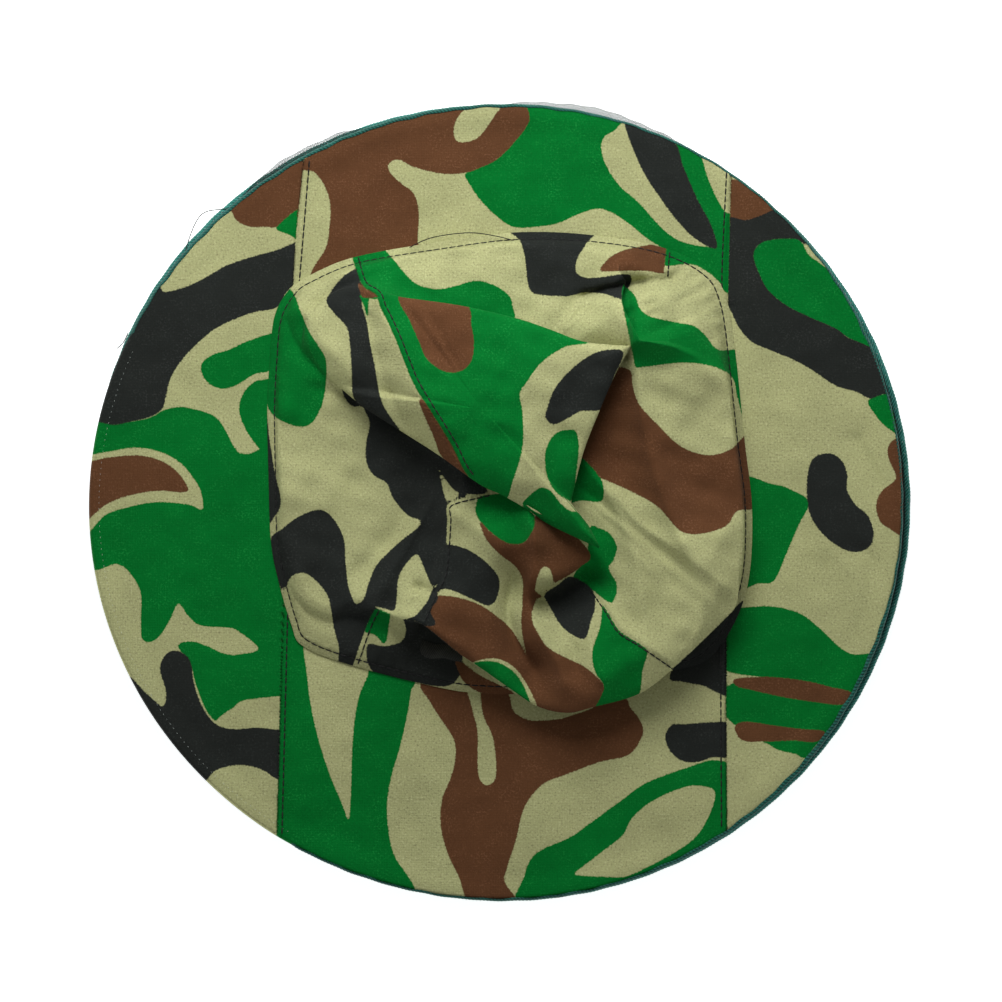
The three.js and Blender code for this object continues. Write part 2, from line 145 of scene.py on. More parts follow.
# Each patch: ink, the layers of folded cloth that it is on, the side of a seam that it stays on,
# and its outline. Later patches lie over earlier ones. "base" is the unprinted cloth.
CROWN_PRINT = [
    ("green", "all", "", [(-91.5, 85.5), (-87, 87.5), (-83, 78), (-79.5, 70), (-75, 63), (-72.5, 58),
        (-72.5, 49.5), (-74.5, 39), (-79.5, 31.5), (-87, 31.5), (-96, 37.5), (-97.5, 51),
        (-95.5, 71.5)]),
    ("black", "low", "W:low", [(-56, 39), (-42.5, 32), (-25, 19), (-15.5, 10.5), (-15.5, -17),
        (-21, -30.5), (-27.5, -35.5), (-30.5, -30.5), (-34.5, -22.5), (-40, -27.5), (-42.5, -33),
        (-43, -39), (-44, -45.5), (-48, -45), (-52, -44.5), (-48, -50.5), (-56, -71), (-66.5, -71),
        (-67, -61.5), (-69, -53.5), (-70, -46.5), (-71.5, -40), (-75.5, -34.5), (-80.5, -30.5),
        (-84.5, -30.5), (-88, -33), (-90, -38.5), (-92.5, -33), (-95.5, -17), (-90.5, -12),
        (-84.5, -7.5), (-77.5, -4.5), (-72.5, -5), (-68, -10), (-65, -17), (-64.5, -25),
        (-63.5, -34.5), (-61.5, -41), (-59.5, -43.5), (-56.5, -41), (-54.5, -34.5), (-51.5, -27.5),
        (-46.5, -22), (-41, -17), (-32.5, -9.5), (-38.5, -6), (-44.5, 1), (-47, 7), (-52.5, 10.5),
        (-55.5, 16), (-55.5, 24), (-54, 32)]),
    ("base", "low", "", [(-25.5, 13.5), (-21, 10.5), (-15.5, 4), (-22, -0.5), (-24.5, 7.5)]),
    ("black", "low", "", [(-65.5, 45.5), (-61.5, 43.5), (-56.5, 40.5), (-60, 39), (-63, 40.5)]),
    ("black", "low", "", [(-98, 37.5), (-96, 24), (-94, 11.5), (-92, 3.5), (-91.5, -2), (-93.5, -6),
        (-96.5, -8.5), (-99.5, 10.5)]),
    ("black", "all", "W:high", [(-57.5, 96.5), (-63, 94.5), (-66.5, 91.5), (-70, 87), (-72, 82.5),
        (-69, 78), (-64, 72.5), (-62.5, 67.5), (-61.5, 55), (-61, 44), (-57.5, 39), (-42.5, 29),
        (-45, 33.5), (-48.5, 39), (-50.5, 45.5), (-52, 55), (-54, 64.5), (-55.5, 74), (-57.5, 81),
        (-57.5, 90.5)]),
    ("green", "all", "W:high", [(-58, 85.5), (-48, 86), (-51.5, 83.5), (-54.5, 83.5), (-55, 76.5),
        (-56.5, 81)]),
    ("brown", "all", "W:high", [(-59, 90), (-55.5, 89.5), (-48, 85.5), (-50.5, 84.5), (-57, 84.5)]),
    ("black", "low", "", [(-26, 15.8), (-15.4, 11.7), (-5.2, 3.6), (-15.4, 2.9), (-20.8, 6.3)]),
    ("brown", "top", "W:high", [(-33.5, 41.5), (-26, 36), (-18, 24), (-11.5, 10.5), (-16.5, 11),
        (-24, 18), (-27.5, 26.5)]),
    ("green", "top", "E:high", [(-54.5, 87), (-15.5, 82), (6.5, 78), (36, 66.5), (26.5, 63.5),
        (17, 57), (11, 49), (8, 44), (9, 37.5), (9.5, 26.5), (8.5, 18.5), (5.5, 9), (1.5, -0.5),
        (-8.5, 3.5), (-15.5, 10.5), (-26, 24), (-37, 43), (-48, 67.5)]),
    ("brown", "top", "", [(-41, 85.5), (-15.5, 82), (-12, 71.5), (-11, 64.5), (-12, 58), (-15.5, 54),
        (-21, 53), (-26, 55), (-30.5, 59), (-33.5, 66), (-37, 74)]),
    ("black", "top", "", [(51, 61), (43.5, 62), (36, 59), (28, 52.5), (22.5, 45.5), (20, 39),
        (19, 34.5), (22, 31.5), (28, 34), (33.5, 37), (41.5, 37.5), (44.5, 41.5), (47, 51)]),
    ("green", "top", "", [(28, 29), (31.5, 28), (32.5, 21), (31.5, 11.5), (30, 0.5), (25.5, 1.5),
        (21, 6.5), (19, 13), (19, 20), (21, 25), (24, 28)]),
    ("green", "top", "", [(9.5, -2), (12.5, 2), (17, 5), (21, 3.5), (25.5, -2), (30, -5), (35.5, -4.5),
        (39, -10), (44.5, -22), (33.5, -18), (20, -12), (13, -6)]),
    ("green", "low", "E:high", [(-64, 102.5), (-50, 104.5), (-45, 100.5), (-40, 94.5), (-34.5, 89.5),
        (-26, 87.5), (-18, 89), (-10, 91), (-2, 89), (3.5, 85), (5, 81), (4.5, 74), (-15.5, 78),
        (-51.5, 82), (-57.5, 89.5)]),
    ("black", "low", "", [(5.5, 113.5), (38, 113.5), (35.5, 106.5), (32, 100.5), (31.5, 95),
        (35, 92.5), (41.5, 92.5), (54, 93.5), (52.5, 86), (50.5, 83.5), (43, 86), (35, 86.5), (28, 85),
        (17, 85.5), (13, 87), (11.5, 91.5), (10.5, 101), (8.5, 108)]),
    ("brown", "low", "W:right_high", [(42, 95.5), (45, 100), (49.5, 103), (56.5, 105), (70.5, 106.5),
        (70, 95), (60.5, 95.5), (51, 95.5)]),
    ("green", "low", "E:right_high", [(67.5, 107), (78, 104), (90.5, 97), (97, 87.5), (93, 89.5),
        (87.5, 94.5), (79.5, 98.5), (67.5, 98)]),
    ("green", "low", "E:slot", [(46, 91), (55, 86), (58, 79.5), (62.5, 76), (74, 73.5), (81, 72),
        (85.5, 68), (90.5, 62.5), (101, 61.5), (104, 48.5), (102.5, 32), (99, 43), (97, 51),
        (90.5, 55), (81, 57), (72.5, 57), (60.5, 55.5), (51, 55), (47, 58)]),
    ("brown", "low", "", [(43.5, 53), (48.5, 55), (54, 53.5), (55, 47), (58, 39), (66, 30.5),
        (72.5, 24), (79.5, 20), (87.5, 18.5), (96, 21), (106.5, 28), (108, -0.5), (98.5, -4.5),
        (94.5, -10), (87.5, -13), (79.5, -14), (74, -12), (66, -3), (58, 2), (48.5, 6.5), (41.5, 9.5),
        (30.5, 16), (33.5, 30.5), (39, 43)]),
    ("green", "low", "", [(30.5, 18.5), (36, 16), (41.5, 9.5), (43, 3.5), (41.5, -0.5), (33.5, 0),
        (26.5, -0.5)]),
    ("green", "low", "", [(37.5, -11.5), (41.5, -12), (45.5, -14), (48.5, -19.5), (47, -25),
        (45, -28.5), (48.5, -35.5), (46.5, -42.5), (42, -40), (38, -37), (30.5, -32.5), (36, -23.5)]),
    ("brown", "low", "", [(-9, -6.5), (-4.5, -11.5), (1, -17), (6.5, -18.5), (11, -17), (14, -11.5),
        (15.5, -6), (24, -8.5), (30.5, -14), (37.5, -23), (33.5, -27.5), (28, -31.5), (22, -35),
        (18.5, -39), (14.5, -42.5), (13, -49.5), (16, -56), (20, -61.5), (28, -66), (33.5, -68.5),
        (39, -72.5), (43, -78), (39, -87), (28, -90.5), (16, -88.5), (13, -83), (15.5, -78), (13, -71),
        (10.5, -61.5), (9, -52), (9.5, -41), (9.5, -33), (6.5, -27.5), (-0.5, -22), (-6, -15.5)]),
    ("base", "low", "", [(14.5, -39), (15, -33.5), (17, -28.5), (19.5, -27.5), (21.5, -30),
        (22, -34.5), (18.5, -38)]),
    ("green", "low", "", [(-8.5, 1), (-4.5, 2), (3.5, 2), (11.5, -4), (14.5, -7.5), (14, -12),
        (10.5, -17), (6.5, -18.5), (1, -17), (-6, -11.5), (-9.5, -6.5), (-10, -2.5)]),
    ("black", "low", "E:low", [(-29, -17), (-21, -18.5), (-14, -20.5), (-7, -25), (-1, -31.5),
        (-0.5, -37), (-2.5, -42.5), (-6, -43.5), (-11.5, -41), (-21, -37), (-30.5, -35.5)]),
    ("brown", "low", "", [(-28, -41), (-21, -40), (-10, -43), (-2, -48), (5, -54.5), (10.5, -64),
        (14, -71), (16, -78), (15.5, -86), (5, -81), (-7, -73.5), (-21, -64), (-33.5, -53.5),
        (-29.5, -48)]),
    ("black", "low", "", [(-27.5, -36.5), (-30, -42), (-35, -48), (-39.5, -50), (-33, -52), (-27, -51.5),
        (-29, -46), (-26, -41)]),
    ("base", "low", "", [(-13.5, -69), (-7, -66), (0, -66), (6.5, -70), (11.5, -77), (15.5, -86),
        (12.5, -87), (5, -82), (-7, -74.5)]),
    ("green", "low", "", [(-11, -68.5), (-6, -67), (0, -68), (5.5, -71.5), (9.5, -77), (12.5, -86),
        (5, -81), (-4.5, -75)]),
    ("black", "low", "", [(18.5, -39.5), (24, -35.5), (29.5, -32), (38, -37), (39.5, -44),
        (37.5, -50.5), (35, -57.5), (28, -54.5), (24, -50), (21, -44.5)]),
    ("green", "low", "W:right_low", [(43, -38.5), (48.5, -48), (60.5, -60), (59, -71), (57, -82),
        (47, -87), (39.5, -87), (42, -81), (43, -76.5), (39.5, -71), (38.5, -63), (41.5, -53.5),
        (42.5, -46.5)]),
    ("base", "wedge", "E:wedge", [(-61.5, -44), (-52, -44.5), (-40, -48.5), (-26, -53.5), (-7, -68.5),
        (6.5, -82), (-21, -84.5), (-68, -73.5)]),
    ("green", "wedge", "E:wedge", [(-57.5, -53.5), (-54.5, -43), (-46.5, -46.5), (-46.5, -52.5),
        (-48, -59.5), (-52, -56)]),
    ("black", "wedge", "E:wedge", [(-55.5, -63.5), (-54.5, -60), (-48, -61), (-41, -59), (-39, -54.5),
        (-39.5, -48.5), (-31.5, -51.5), (-21, -60), (-15.5, -67), (-18, -74.5), (-23.5, -77.5),
        (-37, -75.5), (-50.5, -72.5), (-54.5, -69)]),
    ("brown", "wedge", "E:wedge", [(-18.7, -66), (-8.6, -73), (5, -80), (5, -83), (-7.2, -80.5),
        (-15.4, -75)]),
    ("black", "wedge", "E:wedge", [(101, -42), (96, -45), (87, -52), (79, -61), (71, -69), (80, -74),
        (92, -67), (103, -54)]),
]

# Each patch: ink, the brim panel that it is on, and its outline
BRIM_PRINT = [
    ("brown", "left", [(-111, 119), (-111.5, 125), (-96, 137.5), (-79, 146), (-79, 123), (-86, 117.5),
        (-93, 114), (-98, 114), (-104, 114), (-109, 116)]),
    ("green", "left", [(-93, 114), (-79, 123), (-79, 104), (-86.5, 110)]),
    ("black", "left", [(-146, 87.5), (-139.5, 86.5), (-130, 89), (-122, 93), (-114, 97.5), (-104, 101),
        (-93, 104), (-79, 108.5), (-79, 96), (-88.5, 87.5), (-93, 80.5), (-104, 78), (-117, 72.5),
        (-125, 66.5), (-133, 58), (-137.5, 50.5), (-139.5, 42.5), (-141, 38), (-146.5, 34.5),
        (-159.5, 31.5), (-173, 27.5), (-166.5, 50)]),
    ("green", "left", [(-91.5, 69), (-104, 66.5), (-113, 62.5), (-119.5, 60.5), (-124, 57),
        (-124, 52.5), (-121, 48.5), (-115.5, 46.5), (-109, 48.5), (-102.5, 52.5), (-91.5, 56)]),
    ("green", "left", [(-89.5, 52), (-96, 50.5), (-102.5, 49), (-107, 44), (-108.5, 37), (-105, 28),
        (-97.5, 19), (-89.5, 16.5)]),
    ("green", "left", [(-173, 27.5), (-159.5, 31.5), (-146.5, 34), (-139.5, 37.5), (-131.5, 38.5),
        (-119.5, 35), (-114, 28), (-110.5, 21.5), (-105, 19), (-79, 21), (-79, -83.5), (-91.5, -82.5),
        (-105, -83), (-111.5, -86.5), (-117, -92), (-122, -88), (-126.5, -77), (-129, -68),
        (-134, -61), (-129, -59), (-122, -61), (-115.5, -64), (-109, -64.5), (-100.5, -62),
        (-109, -54.5), (-114, -53), (-125, -52), (-130, -48), (-134, -43), (-137.5, -49.5),
        (-141.5, -56), (-145.5, -59), (-149, -57.5), (-149.5, -49.5), (-149.5, -39), (-153.5, -31),
        (-159.5, -26.5), (-173, -25)]),
    ("base", "left", [(-175, 17.5), (-170, 19), (-162, 20.5), (-151.5, 22), (-141, 20), (-133, 15.5),
        (-127.5, 9), (-124.5, 3.5), (-124, -4), (-130, -2), (-143.5, -1), (-156.5, -3.5),
        (-164.5, -6.5), (-175, -14.5)]),
    ("brown", "left", [(-175, 14), (-170, 16), (-163.5, 17.5), (-151.5, 18.5), (-142, 16.5),
        (-135.5, 12.5), (-131.5, 7.5), (-131, 3.5), (-143.5, 4), (-156.5, 1.5), (-164.5, -2),
        (-175, -8.5)]),
    ("black", "left", [(-156, -73.5), (-146.5, -81.5), (-140.5, -86), (-139, -80), (-141.5, -71),
        (-140, -65.5), (-136.5, -63), (-132, -64), (-129, -68), (-127.5, -77), (-124, -86.5),
        (-118.5, -93.5), (-111.5, -95.5), (-101, -95), (-83.5, -95.5), (-83.5, -119), (-93, -116),
        (-98.5, -112.5), (-105, -110.5), (-111.5, -110.5), (-118.5, -112.5), (-127, -117.5),
        (-146, -100)]),
    ("base", "left", [(-118.5, -92.5), (-111.5, -86.5), (-105, -83), (-83.5, -82.5), (-83.5, -95.5),
        (-101, -95), (-111.5, -95.5)]),
    ("base", "back", [(-87.5, 146), (-82.5, 140), (-77, 136.5), (-72.5, 130), (-70.5, 122), (-71, 113),
        (-72.5, 105), (-79, 92.5), (-91.5, 87.5)]),
    ("brown", "back", [(-82.5, 140), (-77, 136.5), (-72.5, 130), (-70.5, 122), (-71, 113),
        (-72.5, 105), (-79, 92.5), (-71, 83.5), (-33.5, 96), (-34.5, 108), (-34, 119.5), (-36, 127.5),
        (-41.5, 132), (-46, 136.5), (-46.5, 140), (-42.5, 142), (-36, 139), (-26.5, 136.5), (-19, 136),
        (-11, 137.5), (-1.5, 142), (6.5, 150), (12, 158), (14, 169), (-21, 171), (-62.5, 158.5)]),
    ("base", "back", [(-13.5, 163.5), (-18, 159), (-19.5, 153.5), (-18, 149.5), (-14, 149), (-9, 151),
        (-4.5, 156.5), (-1.5, 161), (0, 163.5), (-6.5, 164)]),
    ("green", "back", [(14, 169), (52, 164.5), (49, 155.5), (43.5, 151.5), (42, 146.5), (44, 139.5),
        (49.5, 131), (57.5, 124), (66.5, 114), (73.5, 108.5), (81.5, 106), (90, 105), (100, 104),
        (100, 83.5), (83.5, 96), (68, 105), (61.5, 109), (53.5, 115.5), (46.5, 120), (40, 121.5),
        (32, 119), (24, 115.5), (15, 114), (5.5, 114), (-1.5, 118.5), (-8, 125), (-11.5, 130),
        (-14.5, 135.5), (-11, 137.5), (-1.5, 142), (6.5, 150), (12, 158)]),
    ("green", "back", [(73.5, 149), (81.5, 145), (84, 142), (86.5, 134), (90.5, 125), (94.5, 119.5),
        (100, 119), (100, 104), (90, 105), (83.5, 116.5), (77, 133.5)]),
    ("black", "back", [(52, 159), (60, 155.5), (72.5, 149), (76, 139.5), (81.5, 126.5), (88, 114),
        (90, 105), (81.5, 109), (73.5, 117), (66.5, 126.5), (60, 136.5), (54.5, 149)]),
    ("brown", "right", [(91.5, 132), (100, 133), (106, 131), (114.5, 121), (109, 118.5),
        (102.5, 116.5), (91.5, 116)]),
    ("black", "right", [(91.5, 116), (102.5, 116.5), (109, 118.5), (115, 120.5), (121, 116),
        (130, 106.5), (120, 109), (110.5, 108), (106.5, 105), (105.5, 101), (108, 94), (111.5, 87.5),
        (118.5, 81.5), (128, 76.5), (139.5, 71.5), (147.5, 66.5), (164.5, 64.5), (166.5, 41.5),
        (154, 42.5), (149, 45), (139.5, 48), (130.5, 54), (122.5, 58.5), (111.5, 63), (105, 66),
        (100, 71.5), (96.5, 78.5), (91.5, 90.5)]),
    ("green", "right", [(110.5, 108), (120, 109), (125, 108), (128.5, 102), (134.5, 97.5), (146, 87.5),
        (162.5, 62.5), (147.5, 66.5), (139.5, 71.5), (128, 76.5), (118.5, 81.5), (111.5, 87.5),
        (108, 94), (105.5, 101), (106.5, 105)]),
    ("green", "right", [(154, 42), (169, 44), (173, 26.5), (167, 27), (161, 30.5), (156.5, 35.5)]),
    ("brown", "right", [(173, 26), (166.5, 26), (163, 24), (161.5, 20.5), (162.5, 16), (165, 10.5),
        (164, 7.5), (159.5, 4), (157, -1), (157.5, -6.5), (161, -11), (173, -13.5)]),
    ("black", "right", [(134, 19), (138.5, 19), (142.5, 16), (144.5, 10.5), (144.5, 4), (148, -2),
        (153, -6.5), (155.5, -13.5), (154, -19), (149, -21.5), (142.5, -20), (135, -14.5),
        (129.5, -6.5), (128, 2.5), (128.5, 12), (130.5, 17)]),
    ("green", "right", [(98, 7), (113.5, 6.5), (121.5, 4), (128.5, -1), (124, -11), (118.5, -24),
        (114, -33.5), (108, -34.5), (98, -33.5)]),
    ("green", "right", [(89.5, -46.5), (101.5, -45), (113.5, -44.5), (125, -47.5), (133, -53.5),
        (141.5, -61.5), (148, -64.5), (160.5, -64.5), (154, -79), (131.5, -102), (129, -107),
        (125, -107), (116, -104), (109, -100.5), (95.5, -91.5), (89.5, -79)]),
    ("base", "right", [(89.5, -70), (94, -71), (100, -72.5), (110.5, -74), (100, -75.5), (97, -76.5),
        (89.5, -79)]),
    ("brown", "right", [(97.5, -75), (103.5, -74), (114.5, -74), (127, -75.5), (137.5, -78),
        (146.5, -80.5), (142.5, -85), (131.5, -84), (118.5, -82), (105, -79), (99, -77.5)]),
    ("brown", "right", [(98, -94.5), (102.5, -92.5), (113.5, -94), (125, -95.5), (135, -96.5),
        (131.5, -100.5), (121.5, -100), (110.5, -100.5), (101, -100)]),
    ("base", "right", [(89.5, -102), (100, -101.5), (109, -100.5), (116, -104), (125, -107),
        (116.5, -114.5), (89.5, -108.5)]),
    ("green", "front", [(-98, -38), (-91, -38), (-86, -52), (-75, -58.5), (-33.5, -66.5), (-37, -79),
        (-38.5, -88), (-41.5, -101.5), (-45, -113.5), (-47, -124), (-47, -134.5), (-44.5, -147.5),
        (-36.5, -164.5), (-71, -158.5), (-98, -137.5)]),
    ("base", "front", [(-81.5, -56.5), (-80.5, -73.5), (-78.5, -88), (-75, -102.5), (-70.5, -116),
        (-66, -126.5), (-63, -133.5), (-62, -121.5), (-61.5, -105), (-60.5, -92), (-58.5, -81.5),
        (-55, -69), (-69, -62.5)]),
    ("brown", "front", [(-31.5, -75), (-29, -84), (-24, -92), (-19, -100), (-18.5, -108),
        (-20.5, -116), (-24, -125), (-24.5, -136), (-21.5, -147.5), (-17, -157), (-10.5, -171),
        (8.5, -171), (2, -159.5), (2.5, -154), (6.5, -141.5), (10, -128), (17.5, -118.5), (28, -114),
        (41.5, -109), (53.5, -106), (59, -98.5), (59, -93.5), (54.5, -87), (46, -79), (0, -71)]),
    ("base", "front", [(-14.5, -75), (-11.5, -88), (-9.5, -97), (-9.5, -110.5), (-8.5, -116.5),
        (-5.5, -119), (-2, -116.5), (-1.5, -109), (-3, -98.5), (-7, -89), (-9, -75)]),
    ("base", "front", [(2, -75), (4, -82), (5.5, -88), (11, -91.5), (17.5, -92), (28, -90.5),
        (41.5, -83.5), (25, -71)]),
    ("black", "front", [(71, -72.5), (76, -75.5), (84, -77), (100, -80), (100, -41.5), (83.5, -50)]),
    ("black", "front", [(100, -93.5), (76, -93.5), (71.5, -94), (69, -98.5), (71, -104.5),
        (76, -108.5), (82.5, -109), (89, -107), (100, -106.5)]),
    ("green", "front", [(100, -106.5), (95, -109), (88, -108.5), (81.5, -110.5), (71, -114),
        (60, -118.5), (51, -125), (40, -133), (29.5, -140.5), (19, -145), (13.5, -149), (10.5, -156),
        (8.5, -171), (50, -166.5), (100, -146)]),
    ("base", "front", [(84, -119), (89, -120.5), (89.5, -125), (86.5, -133), (81.5, -140.5),
        (73.5, -146.5), (61.5, -153), (52, -157), (41.5, -157), (31, -156), (34.5, -152.5), (43, -146),
        (51, -139.5), (54.5, -133), (61.5, -126.5), (71, -121.5), (79, -119)]),
]

INKS = ("green", "brown", "black")
INK_REACH = 6.0      # how far from an outline its distance is kept

# ---------------------------------------------------------------- curve helpers


def smooth_line(points, closed=False, per=8):
    """A Catmull-Rom curve through the points."""
    knots = np.array(points, float)
    if closed:
        padded = np.vstack([knots[-1:], knots, knots[:2]])
    else:
        padded = np.vstack([2 * knots[0] - knots[1], knots, 2 * knots[-1] - knots[-2]])
    t = np.linspace(0, 1, per, endpoint=False)[:, None]
    pieces = []
    for a, b, c, d in zip(padded, padded[1:], padded[2:], padded[3:]):
        pieces.append(0.5 * (2 * b + (c - a) * t + (2 * a - 5 * b + 4 * c - d) * t ** 2
                             + (3 * b - a - 3 * c + d) * t ** 3))
    if not closed:
        pieces.append(knots[-1:])
    return np.vstack(pieces)


def line_through(points):
    """A seam's line: straight between two points, or a curve through more."""
    return smooth_line(points) if len(points) > 2 else np.array(points, float)


def even_steps(line, step):
    """The same line with points at even distances."""
    gaps = np.linalg.norm(np.diff(line, axis=0), axis=1)
    along = np.concatenate([[0], np.cumsum(gaps)])
    places = np.linspace(0, along[-1], max(2, int(round(along[-1] / step)) + 1))
    return np.column_stack([np.interp(places, along, column) for column in line.T])


def polar_radius(line, middle, angles):
    """How far a line round the middle lies from it, at each angle."""
    offset = line - middle
    around = np.unwrap(np.arctan2(offset[:, 1], offset[:, 0]))
    order = np.argsort(around % (2 * math.pi))
    turn = (around % (2 * math.pi))[order]
    return np.interp(angles % (2 * math.pi), turn, np.linalg.norm(offset, axis=1)[order],
                     period=2 * math.pi)


def polar_spots(radius, angles, middle=(0.0, 0.0)):
    """Points seen from above, row by row: one row for each angle, with the radii given for it."""
    x = middle[0] + radius * np.cos(angles)[:, None]
    y = middle[1] + radius * np.sin(angles)[:, None]
    return np.column_stack([x.ravel(), y.ravel()])


def keyed(angles, keys):
    """A smooth periodic curve through (degrees, value) keys."""
    spots = np.radians([degrees for degrees, _ in keys])
    values = np.array([value for _, value in keys], float)
    around = angles % (2 * math.pi)
    spots = np.append(spots, spots[0] + 2 * math.pi)
    values = np.append(values, values[0])
    around = np.where(around < spots[0], around + 2 * math.pi, around)
    index = np.clip(np.searchsorted(spots, around, side="right") - 1, 0, len(spots) - 2)
    part = (around - spots[index]) / (spots[index + 1] - spots[index])
    part = part * part * (3 - 2 * part)
    return values[index] * (1 - part) + values[index + 1] * part


def distance_to_line(spots, line):
    """Each spot's distance to an open line, and the side it lies on: 1 to the left of its run, -1 to
    the right, and between the two past the line's ends."""
    best = np.full(len(spots), 1e9)
    side = np.ones(len(spots))
    for start, end in zip(line, line[1:]):
        run = end - start
        part = np.clip(((spots - start) @ run) / (run @ run), 0, 1)
        offset = spots - start - part[:, None] * run
        gap = np.linalg.norm(offset, axis=1)
        nearer = gap < best - 1e-9
        best[nearer] = gap[nearer]
        turn = run[0] * (spots[:, 1] - start[1]) - run[1] * (spots[:, 0] - start[0])
        across = turn[nearer] / (np.linalg.norm(run) * np.maximum(gap[nearer], 1e-6))
        side[nearer] = np.clip(across, -1, 1)
    return best, side


def side_of(spots, points):
    """The signed distance to a line carried on straight past both ends, positive to its left."""
    line = line_through(points)
    far = 150.0
    first = line[0] - (line[1] - line[0]) / np.linalg.norm(line[1] - line[0]) * far
    last = line[-1] + (line[-1] - line[-2]) / np.linalg.norm(line[-1] - line[-2]) * far
    gap, side = distance_to_line(spots, np.vstack([first, line, last]))
    return gap * np.where(side >= 0, 1, -1)


def inside_distance(spots, loop):
    """The signed distance to a closed outline, negative inside, for the spots near it."""
    result = np.full(len(spots), INK_REACH)
    near = np.all((spots > loop.min(0) - INK_REACH) & (spots < loop.max(0) + INK_REACH), axis=1)
    if not near.any():
        return result
    chosen = spots[near]
    ring = np.vstack([loop, loop[:1]])
    gap, _ = distance_to_line(chosen, ring)
    inside = np.zeros(len(chosen), bool)
    for (ax, ay), (bx, by) in zip(ring, ring[1:]):
        if ay == by:
            continue
        crosses = (ay > chosen[:, 1]) != (by > chosen[:, 1])
        inside ^= crosses & (chosen[:, 0] < (bx - ax) * (chosen[:, 1] - ay) / (by - ay) + ax)
    result[near] = np.clip(np.where(inside, -gap, gap), -INK_REACH, INK_REACH)
    return result


def lay_ink(fields, ink, edge):
    """Prints one patch: its ink goes on, and every ink that would lie over it comes off."""
    rank = INKS.index(ink) if ink in INKS else -1
    if rank >= 0:
        fields[ink][:] = np.minimum(fields[ink], edge)
    for other in INKS[rank + 1:]:
        fields[other][:] = np.maximum(fields[other], -edge)


def blank_print(count):
    return {ink: np.full(count, INK_REACH) for ink in INKS}


def soft_noise(spots, size, seed):
    """A smooth pattern of about -1 to 1, with features about size millimetres across."""
    rng = np.random.default_rng(seed)
    total = np.zeros(len(spots))
    waves = 7
    for _ in range(waves):
        direction = rng.uniform(0, 2 * math.pi)
        pace = 2 * math.pi / (size * rng.uniform(0.8, 1.7))
        total += np.sin((spots[:, 0] * math.cos(direction) + spots[:, 1] * math.sin(direction)) * pace
                        + rng.uniform(0, 2 * math.pi))
    return total / math.sqrt(waves)


def ease(value, low, high):
    part = np.clip((value - low) / (high - low), 0, 1)
    return part * part * (3 - 2 * part)


# ---------------------------------------------------------------- mesh helpers


def make_mesh(name, points, faces, material, fields=None, uv=None):
    """A smooth-shaded object from points in millimetres and faces, as lists or as one array."""
    mesh = bpy.data.meshes.new(name)
    mesh.vertices.add(len(points))
    mesh.vertices.foreach_set("co", (np.asarray(points, float) * MM).ravel())
    sizes = np.array([len(face) for face in faces]) if isinstance(faces, list) else None
    if sizes is None:
        sizes = np.full(len(faces), faces.shape[1])
        corners = faces.ravel()
    else:
        corners = np.concatenate([np.asarray(face) for face in faces])
    mesh.loops.add(len(corners))
    mesh.loops.foreach_set("vertex_index", corners.astype(np.int32))
    mesh.polygons.add(len(sizes))
    starts = np.concatenate([[0], np.cumsum(sizes)[:-1]])
    mesh.polygons.foreach_set("loop_start", starts.astype(np.int32))
    mesh.polygons.foreach_set("use_smooth", np.ones(len(sizes), bool))
    mesh.update(calc_edges=True)
    for key, values in (fields or {}).items():
        layer = mesh.attributes.new(key, "FLOAT", "POINT")
        layer.data.foreach_set("value", np.asarray(values, np.float32))
    if uv is not None:
        layer = mesh.uv_layers.new(name="cloth")
        layer.data.foreach_set("uv", np.asarray(uv, np.float32)[corners].ravel())
    mesh.validate()
    mesh.materials.append(material)
    piece = bpy.data.objects.new(name, mesh)
    bpy.context.scene.collection.objects.link(piece)
    return piece


def grid_faces(rows, columns, wrap_rows=False, wrap_columns=False):
    """Quads over a grid of points numbered row by row."""
    row = np.arange(rows if wrap_rows else rows - 1)
    column = np.arange(columns if wrap_columns else columns - 1)
    i, j = np.meshgrid(row, column, indexing="ij")
    i2, j2 = (i + 1) % rows, (j + 1) % columns
    return np.stack([i * columns + j, i2 * columns + j, i2 * columns + j2, i * columns + j2],
                    axis=-1).reshape(-1, 4)


def thicken(piece, thickness):
    """Gives a sheet its real thickness, behind its faces."""
    solid = piece.modifiers.new("thickness", "SOLIDIFY")
    solid.thickness = thickness * MM
    solid.offset = -1.0


# ---------------------------------------------------------------- materials


def new_material(name):
    material = bpy.data.materials.new(name)
    material.use_nodes = True
    tree = material.node_tree
    shader = tree.nodes["Principled BSDF"]
    return material, tree, shader


def put(tree, kind, values=None, **settings):
    """Adds a shader node, sets its properties, and sets or links its inputs."""
    node = tree.nodes.new(kind)
    for key, value in settings.items():
        setattr(node, key, value)
    for key, value in (values or {}).items():
        if isinstance(value, bpy.types.NodeSocket):
            tree.links.new(value, node.inputs[key])
        else:
            node.inputs[key].default_value = value
    return node


def mix_color(tree, factor, first, second, blend="MIX"):
    node = put(tree, "ShaderNodeMix", {0: factor, 6: first, 7: second}, data_type="RGBA", blend_type=blend)
    return node.outputs[2]


def maths(tree, operation, first, second=0.0):
    return put(tree, "ShaderNodeMath", {0: first, 1: second}, operation=operation).outputs[0]


def remap(tree, value, low, high, to_low=0.0, to_high=1.0):
    return put(tree, "ShaderNodeMapRange", {0: value, 1: low, 2: high, 3: to_low, 4: to_high}).outputs[0]


def noise(tree, place, scale, detail=2.0, roughness=0.5):
    return put(tree, "ShaderNodeTexNoise", {"Vector": place, "Scale": scale, "Detail": detail,
                                            "Roughness": roughness}).outputs["Fac"]


def stretched(tree, place, scale):
    return put(tree, "ShaderNodeMapping", {"Vector": place, "Scale": scale}).outputs["Vector"]


